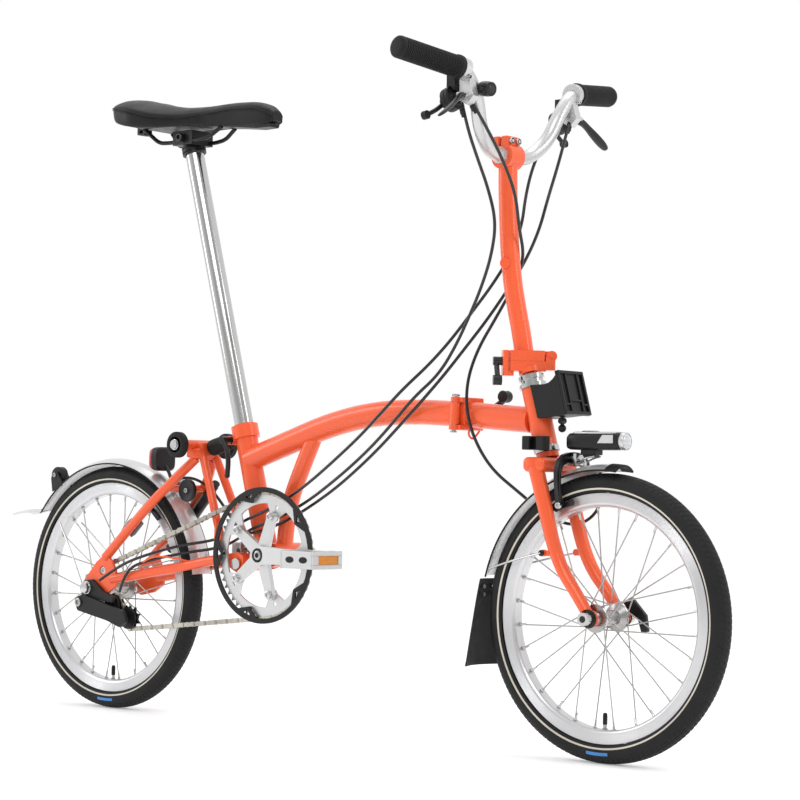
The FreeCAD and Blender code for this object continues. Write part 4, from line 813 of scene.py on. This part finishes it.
def brake_pads():
    for centre_pad, arms, where in (
        ((978, 17, 370.6, 0.26), ("caliper_front_right", "caliper_front_left"), "front"),
        ((112, 17, 343, -0.72), ("caliper_rear_right", "caliper_rear_left"), "rear"),
    ):
        x, y, z, lean = centre_pad
        along = Vector((math.cos(lean), 0, math.sin(lean)))
        out = Vector((-math.sin(lean), 0, math.cos(lean)))
        for (side, word), arm in zip(SIDES, arms):
            base = spot(x, side * y, z)
            holder, fixing = Shell(), Shell()
            corners = [base + along * (a * MM) + out * (b * MM) + ACROSS * (side * 1.2 * MM)
                       for a, b in ((-19, -4.2), (19, -4.2), (21, 0), (19, 4.2), (-19, 4.2), (-21, 0))]
            holder.prism(corners, ACROSS * (side * 3.2 * MM))
            holder.make(f"{where}_pad_holder_{word}", "black_alloy", arm, bevel=0.8)
            fixing.bolt(base + ACROSS * (side * 13 * MM), ACROSS * side, 5, 4)
            fixing.make(f"{where}_pad_nut_{word}", "polished_steel", arm)


# Frame details


def frame_wires():
    """The small painted wire guides that are brazed to the tubes."""
    guides = Shell()
    for line in (((262, -24, 352), (276, -38, 346), (286, -41, 322), (279, -37, 300), (270, -27, 322)),
                 ((122, -51, 243), (128, -58, 256), (160, -56, 268), (196, -46, 266), (214, -34, 262))):
        guides.tube(curved(spots(line), 8), 1.5, 10)
    guides.make("rear_wire_guides", "orange_paint", REAR)


def clamp_details():
    parts = Shell()
    parts.lathe(spot(778, 39, 506), ACROSS, [(9, 0), (9, 2), (7.6, 2.6), (7.6, 6)], 32)
    parts.make("hinge_clamp_washer", "polished_steel", "hinge_clamp")
    knob = Shell()
    profile = [(0, 0), (8.4, 0.4), (9.4, 2), (8.6, 8), (9.4, 14), (8.4, 17), (0, 17.4)]
    knob.lathe(spot(818, 36, 534), ACROSS, profile, 32)
    knob.make("hinge_clamp_knob", "black_plastic", "hinge_clamp_lever")
    seat = Shell()
    seat.bolt(spot(283, 14, 464.5), ACROSS, 6.2, 5)
    seat.make("seat_clamp_nut", "polished_steel", "seat_quick_lever")
    hinge = Shell()
    up = Vector((0, math.sin(math.radians(5)), math.cos(math.radians(5))))
    pin = spot(778, -28, 506)
    hinge.lathe(pin, up, [(6, 26.8), (6.4, 28), (5.4, 29.6), (0, 29.8)], 28)
    hinge.lathe(pin, -up, [(5.6, 26.8), (5.6, 28), (4.6, 29), (0, 29)], 28)
    hinge.make("hinge_pin_caps", "steel", MAIN)


def crank_details():
    x, _, z = CRANK_AXLE
    caps, cores, rolls = Shell(), Shell(), Shell()
    profile = [(11.5, 61.6), (11.5, 63.4), (10.6, 64.2), (8.2, 64.2), (8, 62.6)]
    for side, _ in SIDES:
        caps.lathe(spot(x, 0, z), ACROSS * side, profile)
        cores.bolt(spot(x, side * 61, z), ACROSS * side, 7.6, 3)
    caps.make("crank_dust_caps", "black_plastic", "crankset")
    cores.make("crank_bolts", "steel", "crankset")
    for i in range(5):
        rolls.bolt(around(CRANK_AXLE, 72 * i, 66, -57.3), -ACROSS, 6.2, 2.6)
    rolls.make("ring_bolt_heads", "polished_steel", "crankset")


def pedal(side, word):
    """A cage pedal with plates fore and aft, an end plate whose two oval holes are dark plates of painted
    shade, and amber reflectors.
    """
    body = word + "_pedal"
    x, z = 402 - side * 170, 278.5
    cage, painted_hole_shades, lights = Shell(), Shell(), Shell()
    near, far = 86, 153

    def span(y_a, y_b):
        return tuple(sorted((side * y_a, side * y_b)))

    for end in (-1, 1):
        face = sorted((x + end * 31.5, x + end * 35))
        for y_a, y_b, low, high in ((near, far, -14, -7), (near, far, 7, 14),
                                    (near, 95, -7, 7), (140, far, -7, 7)):
            y0, y1 = span(y_a, y_b)
            cage.box((face[0], y0, z + low), (face[1], y1, z + high))
        y0, y1 = span(95.5, 139.5)
        glow = sorted((x + end * 30.5, x + end * 34.2))
        lights.box((glow[0], y0, z - 6.5), (glow[1], y1, z + 6.5))
    for y_a, y_b in ((near, near + 4), (far - 3.5, far)):
        y0, y1 = span(y_a, y_b)
        cage.box((x - 31.5, y0, z - 13.5), (x + 31.5, y1, z + 13.5))
    for k in (-1, 1):
        y0, y1 = span(near + 4, far - 3.5)
        cage.box((x + k * 12 - 2, y0, z - 10), (x + k * 12 + 2, y1, z + 10))
        # Thin dark oval plates on the solid end plate: painted shade standing in for the shaded insides of its
        # two oval holes.
        outline = []
        for i in range(28):
            a = 2 * math.pi * i / 28
            outline.append(spot(x + k * 14 + 8.5 * math.cos(a), side * (far - 0.5), z + 5 * math.sin(a)))
        painted_hole_shades.prism(outline, ACROSS * (side * 0.8 * MM))
    cage.make("pedal_cage_" + word, "silver_alloy", body, bevel=0.9, replaces=["pedal_" + word])
    profile = [(9, 84), (9.6, 88), (9.6, 146), (8, 150), (0, 150.4)]
    Shell().lathe(spot(x, 0, z), ACROSS * side, profile, 32).make("pedal_barrel_" + word, "black_plastic", body)
    painted_hole_shades.make("pedal_ovals_" + word, "black_plastic", body)
    lights.make("pedal_reflectors_" + word, "amber", body, bevel=0.5)


def chain():
    """Every link of the chain: side plates in pairs, rollers and pins."""
    def pitch_r(teeth):
        return CHAIN_PITCH / (2 * math.sin(math.pi / teeth))

    wheels = [((91, 161), pitch_r(9)), ((402, 278.5), pitch_r(50)), ((0, 209.5), pitch_r(13)),
              ((50, 180), -pitch_r(9))]
    count = len(wheels)
    leave, arrive = [], [None] * count
    for i in range(count):
        (x1, z1), s1 = wheels[i]
        (x2, z2), s2 = wheels[(i + 1) % count]
        normal = math.atan2(z2 - z1, x2 - x1) + math.acos((s2 - s1) / math.hypot(x2 - x1, z2 - z1))
        n = np.array((math.cos(normal), math.sin(normal)))
        leave.append(np.array((x1, z1)) - n * s1)
        arrive[(i + 1) % count] = np.array((x2, z2)) - n * s2
    path = []
    for i in range(count):
        centre, s = np.array(wheels[i][0]), wheels[i][1]
        first = math.atan2(*(arrive[i] - centre)[::-1])
        last = math.atan2(*(leave[i] - centre)[::-1])
        if s > 0 and last < first:
            last += 2 * math.pi
        if s < 0 and last > first:
            last -= 2 * math.pi
        for a in np.linspace(first, last, 40):
            path.append(centre + abs(s) * np.array((math.cos(a), math.sin(a))))
    path = np.array(path + path[:1])
    run = np.concatenate([[0], np.cumsum(np.linalg.norm(np.diff(path, axis=0), axis=1))])
    links = 2 * round(run[-1] / CHAIN_PITCH / 2)
    marks = np.linspace(0, run[-1], links + 1)
    pins = np.stack([np.interp(marks, run, path[:, k]) for k in (0, 1)], axis=1)
    plates, rollers = Shell(), Shell()
    for i in range(links):
        a, b = pins[i], pins[i + 1]
        along = (b - a) / np.linalg.norm(b - a)
        across = np.array((-along[1], along[0]))
        outline = []
        for centre, start in ((b, -90), (a, 90)):
            for step in range(7):
                angle = math.radians(start + 30 * step)
                outline.append(centre + 4.1 * (along * math.cos(angle) + across * math.sin(angle)))
        outline.insert(7, (a + b) / 2 + across * 2.9)
        outline.append((a + b) / 2 - across * 2.9)
        offset = 2.5 if i % 2 else 1.35
        for side, _ in SIDES:
            y = CHAIN_Y + side * offset
            plates.slab([(p[0], p[1]) for p in outline], y, y + side * 1.0)
        roller = spot(a[0], CHAIN_Y, a[1])
        rollers.lathe(roller, ACROSS, [(3.85, -1.3), (3.85, 1.3)], 14)
        rollers.lathe(roller, ACROSS, [(1.8, -3.9), (1.8, 3.9)], 10)
    for shell, name in ((plates, "chain_plates"), (rollers, "chain_rollers")):
        piece = shell.make(name, "chain_steel", None, replaces=["chain"])
        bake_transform(piece)


# Rear fittings


def rear_fittings():
    rounded(((105, 21, 414, 451), (108, 23, 412, 453), (119, 23, 412, 453), (122, 20, 415, 450))).make(
        "rear_light_case", "black_plastic", REAR, sharp=32, replaces=["rear_fittings"])
    rounded(((99, 18, 417, 448), (100.5, 21, 414, 451), (106, 22.6, 412.4, 452.6), (108, 22, 413, 452))).make(
        "rear_light_lens", "red", REAR, sharp=60)
    Shell().tube(spots([(120, 0, 420), (128, 0, 410), (132.5, 0, 401)]), 3, 12).make(
        "rear_light_arm", "black_alloy", REAR)
    start, end = spot(84, 53.5, 279), spot(196, 34, 379)
    way = (end - start).normalized()
    long = (end - start).length / MM
    Shell().lathe(start, way, [(8.9, 0), (9, 1), (9, long - 1), (8.9, long)], 36).make(
        "pump_barrel", "black_alloy", REAR)
    caps = Shell()
    caps.lathe(start, way, [(0, -5), (9, -4.6), (10, -3), (10, 2), (9.1, 2.6)], 36)
    caps.lathe(end, way, [(9.4, -3), (9.4, 2), (7.6, 4), (7.6, 14), (6.8, 15), (6.8, 21), (0, 22)], 36)
    caps.make("pump_ends", "black_plastic", REAR)
    mount = [(-14, 196), (-8, 222), (12, 224), (40, 205), (66, 196), (64, 186), (20, 190), (0, 192),
             (-24, 172), (-24, 190)]
    Shell().slab(mount, -65.8, -59.2).make("tensioner_bracket", "black_plastic", REAR, bevel=1.2)
    disc = [(0, -42), (5, -42), (6, -41), (16, -41), (17.5, -42), (19, -41), (19, -36), (17, -35), (5.5, -35),
            (5.5, -25)]
    Shell().lathe(spot(214, 0, 380), ACROSS, disc, 48).make("guide_disc_wheel", "black_plastic", REAR)
    Shell().bolt(spot(214, -41.6, 380), -ACROSS, 4, 2.4).make("guide_disc_bolt", "steel", REAR)
    plate = [(70, 315), (78, 325), (88, 331), (104, 332), (112, 328), (118, 322), (98, 303), (88, 298)]
    Shell().slab(plate, -47.5, -46).make("stay_plate_sheet", "grey_plastic", REAR, bevel=0.5)
    Shell().lathe(spot(93, 0, 318), -ACROSS, [(0, 50.4), (4.5, 50.2), (5.5, 49), (5.5, 47.3)], 28).make(
        "stay_plate_stud", "black_plastic", REAR)
    ears = Shell()
    for side, _ in SIDES:
        ears.slab([(-158, 408), (-146, 408), (-134, 390), (-132, 384), (-158, 372), (-162, 396)], side * 9.6,
                  side * 12.4)
    ears.make("guard_roller_ears", "black_plastic", REAR, bevel=0.8)
    Shell().bolt(spot(-152, -12, 402), -ACROSS, 4, 2.4).bolt(spot(-152, 12, 402), ACROSS, 4, 2.4).make(
        "guard_roller_bolts", "steel", REAR)
    block = [(12.2, 0), (13.4, 1.2), (13.8, 6)]
    for s in (9, 15, 21, 27):
        block += [(14, s), (13.6, s + 2), (14, s + 4)]
    block += [(13.8, 36), (13.2, 40), (11.5, 41.2)]
    Shell().lathe(spot(231.6, 0, 451.7), spot(271.5, 0, 462) - spot(231.6, 0, 451.7), block, 48).make(
        "suspension_rubber", "black_rubber", REAR, sharp=60, replaces=["suspension_block"])
    nuts = Shell()
    nuts.lathe(spot(0, 0, 209.5), -ACROSS, [(11.5, 66), (11.5, 68), (9.8, 68.2), (9.8, 68.4)], 36)
    nuts.lathe(spot(0, 0, 209.5), -ACROSS, [(10, 68.2), (10, 74), (9, 75), (5.5, 75.4)], 6)
    nuts.lathe(spot(0, 0, 209.5), ACROSS, [(10, 58.4), (10, 66.5), (9, 67.5), (5.5, 68)], 6)
    nuts.bolt(spot(30, -53.5, 240), -ACROSS, 6.6, 3.6)
    nuts.make("rear_axle_nuts", "polished_steel", REAR, bevel=0.3)
    Shell().bolt(spot(-12, -73.2, 184), -ACROSS, 7.4, 3.4).make(
        "tensioner_pivot_cap", "steel", "chain_tensioner")
    calipers = Shell()
    calipers.bolt(spot(141.5, 0, 383), -FORWARD, 5.4, 4)
    for side, _ in SIDES:
        calipers.bolt(spot(139.5, side * 6, 391), -FORWARD, 4.4, 3.4)
    calipers.make("rear_caliper_bolts", "polished_steel", REAR)


def rollers():
    cap = [(0, 10.6), (5, 10.4), (6, 9), (9, 7.6), (9, 6.4)]
    tread = [(13, 6.5), (14, 7.2), (18.4, 7.2), (21.6, 4.6), (21.8, 0), (21.6, -4.6), (18.4, -7.2), (14, -7.2),
             (13, -6.5)]
    for side, word in SIDES:
        hub = spot(208, side * 58, 456)
        Shell().lathe(hub, ACROSS * side, cap, 32).make("roller_cap_" + word, "polished_steel", REAR)
        Shell().lathe(hub, ACROSS * side, tread, 48).make(
            "roller_tread_" + word, "black_rubber", "rolling_wheels", sharp=40)


# Cables


def cable(name, node, points, spans):
    """A cable along its control points, cut where it passes from one body to the next.

    Each span is a share of the cable's length at its far end, with the two bodies that it bends between
    or the one that it rides on.
    """
    curve = bpy.data.curves.new(name, "CURVE")
    curve.dimensions = "3D"
    curve.resolution_u = 12
    spline = curve.splines.new("NURBS")
    spline.points.add(len(points) - 1)
    for slot, point in zip(spline.points, points):
        slot.co = (*point, 1)
    spline.order_u = 3
    spline.use_endpoint_u = True
    guide = bpy.data.objects.new(name + "_line", curve)
    bpy.context.scene.collection.objects.link(guide)
    bpy.context.view_layer.update()
    read = bpy.data.meshes.new_from_object(guide)
    line = [v.co.copy() for v in read.vertices]
    bpy.data.objects.remove(guide)
    if (line[0] - points[0]).length > (line[-1] - points[0]).length:
        line.reverse()
    steps = [(b - a).length for a, b in zip(line, line[1:])]
    far = np.concatenate([[0], np.cumsum(steps)]) / sum(steps)
    start = 0
    for number, (share, bodies) in enumerate(spans):
        stop = int(np.searchsorted(far, share)) if share < 1 else len(line) - 1
        run = line[start:stop + 1]
        piece = Shell().tube(run, CABLE_RADIUS, 14).make(
            f"{name}_cable_run_{number}", "cable_sleeve", None, replaces=[node])
        if len(bodies) == 2:
            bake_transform(piece)
        else:
            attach(piece, bodies[0])
        start = stop


FULL_RUN = ((STEM, STEER), (STEER, FRONT), (FRONT, MAIN), (MAIN,), (MAIN, REAR), (REAR,))
CABLE_RADIUS = 2.5


def cables():
    cable("front_brake", "front_brake_cable", spots([
        (876, -118, 957), (884, -96, 925), (892, -66, 880), (894, -36, 832), (884, -14, 786), (870, 20, 742),
        (846, 24, 700), (826, 8, 652), (808, -14, 602), (799, -27, 552), (801, -27, 502), (811, -14, 458),
        (832, 0, 420), (862, 22, 390), (896, 46, 356), (938, 60, 338), (978, 60, 354), (1000, 53, 390),
        (998, 42, 426),
    ]), zip((0.42, 0.60, 0.80, 1), ((STEM, STEER), (STEER, FRONT), (FRONT, STEER), (STEER,))))
    cable("rear_brake", "rear_brake_cable", spots([
        (876, 118, 957), (884, 96, 925), (890, 70, 880), (890, 48, 832), (880, 42, 786), (858, 38, 740),
        (832, 28, 696), (804, 14, 650), (776, -4, 606), (748, -20, 564), (714, -32, 524), (672, -34, 486),
        (630, -32, 452), (584, -30, 419), (538, -28, 389), (490, -26, 363), (444, -24, 341), (398, -24, 324),
        (356, -25, 312), (322, -14, 314), (290, -6, 331), (264, -5, 358), (238, -8, 384), (208, -13, 400),
        (180, -19, 402), (158, -24, 396),
    ]), zip((0.24, 0.34, 0.50, 0.74, 0.86, 1), FULL_RUN))
    cable("derailleur", "gear_cables", spots([
        (851, -111, 956), (846, -93, 926), (846, -69, 886), (852, -48, 840), (857, -35, 792), (845, -29, 745),
        (824, -24, 700), (798, -20, 656), (770, -18, 610), (742, -24, 566), (706, -41, 530), (668, -43, 492),
        (626, -41, 457), (580, -38, 425), (534, -36, 396), (486, -33, 369), (440, -31, 348), (394, -30, 332),
        (352, -31, 318), (320, -24, 302), (286, -15, 291), (250, -15, 283), (214, -32, 277), (176, -46, 269),
        (138, -55, 260), (106, -63, 249), (94, -69, 227), (84, -67, 206),
    ]), zip((0.22, 0.32, 0.46, 0.68, 0.80, 1), FULL_RUN))
    cable("hub_gear", "gear_cables", spots([
        (851, 111, 956), (845, 93, 926), (844, 69, 886), (848, 48, 840), (851, 36, 792), (836, 27, 746),
        (814, 14, 704), (786, 0, 662), (756, -12, 620), (724, -28, 580), (690, -48, 543), (650, -52, 506),
        (608, -50, 472), (562, -48, 440), (516, -45, 410), (470, -40, 384), (424, -36.5, 362),
        (380, -36, 345), (342, -36, 332), (310, -22, 319), (278, -11, 305), (244, -16, 296), (210, -33, 290),
        (174, -47, 281), (138, -58, 270), (104, -67, 258), (72, -72, 242), (42, -75, 224),
    ]), zip((0.22, 0.32, 0.46, 0.68, 0.80, 1), FULL_RUN))


# Everything together


NODE_LOOKS = {
    "orange_paint": ("main_frame", "seat_clamp", "main_clamp_plate", "front_frame", "fork", "stem_base",
                     "stem", "stem_clamp_plate", "rear_frame"),
    "silver_alloy": ("handlebar", "cranks", "chainring"),
    "polished_steel": ("seatpost", "headset", "fork_hardware", "rear_hardware", "crank_hardware",
                       "frame_hardware"),
    "steel": ("sprocket", "front_hub", "rear_hub"),
    "black_alloy": ("front_arm_right", "front_arm_left", "rear_arm_right", "rear_arm_left",
                    "brake_lever_right", "brake_lever_left", "main_clamp_lever", "stem_clamp_lever",
                    "seat_lever"),
    "black_plastic": ("saddle_frame", "head_fittings", "carrier_latch", "bar_controls", "shifter_lever_right",
                      "shifter_lever_left", "chain_guard", "tensioner_arm", "jockey_upper", "jockey_lower",
                      "guard_roller"),
    "black_rubber": ("frame_rollers",),
}


def dress_nodes():
    for look, names in NODE_LOOKS.items():
        for name in names:
            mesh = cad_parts[name].data
            mesh.materials.clear()
            mesh.materials.append(FINISH[look])


def make_stage():
    material, tree, shader = node_material("floor_paint", (0.9, 0.9, 0.9), 0.75, 0)
    set_inputs(shader, Emission_Color=(1, 1, 1, 1), Emission_Strength=0.2)
    bumped(tree, shader, noise_of(tree, texture_space(tree), 60), 0.02, 0.0005)
    FINISH["floor_paint"] = material
    Shell().box((-24000, -24000, -20), (25000, 24000, 0)).make("floor", "floor_paint", None)
    for name, place, height, size, power in (
        ("key", (1.8, -3.0, 3.2), 0.5, (2.6, 1.6), 42),
        ("side", (-2.6, -1.6, 1.8), 0.5, (0.8, 2.4), 18),
        ("front", (3.2, 0.6, 1.6), 0.5, (0.7, 2.2), 16),
        ("top", (0, 0.5, 3.4), 0.4, (3.0, 1.2), 24),
    ):
        make_light(name, place, (0, 0, height), size, power)
    bpy.context.scene.view_settings.view_transform = "Standard"


make_camera()
cables()
make_world()
make_stage()
dress_nodes()
for end, axle in (("front", FRONT_AXLE), ("rear", REAR_AXLE)):
    tyre(end, axle, end + "_wheel")
for end, axle in (("front", FRONT_AXLE), ("rear", REAR_AXLE)):
    rim(end, axle, end + "_wheel")
hub_dress("front", FRONT_AXLE, "front_wheel", 36.9, 27, 20)
hub_dress("rear", REAR_AXLE, "rear_wheel", 41.5, 29, 22)
front_guard()
rear_guard()
saddle()
grips()
cockpit()
front_lamp()
carrier_block()
caliper_forgings()
fork_details()
brake_pads()
frame_wires()
clamp_details()
crank_details()
pedal(-1, "right")
pedal(1, "left")
chain()
rear_fittings()
rollers()
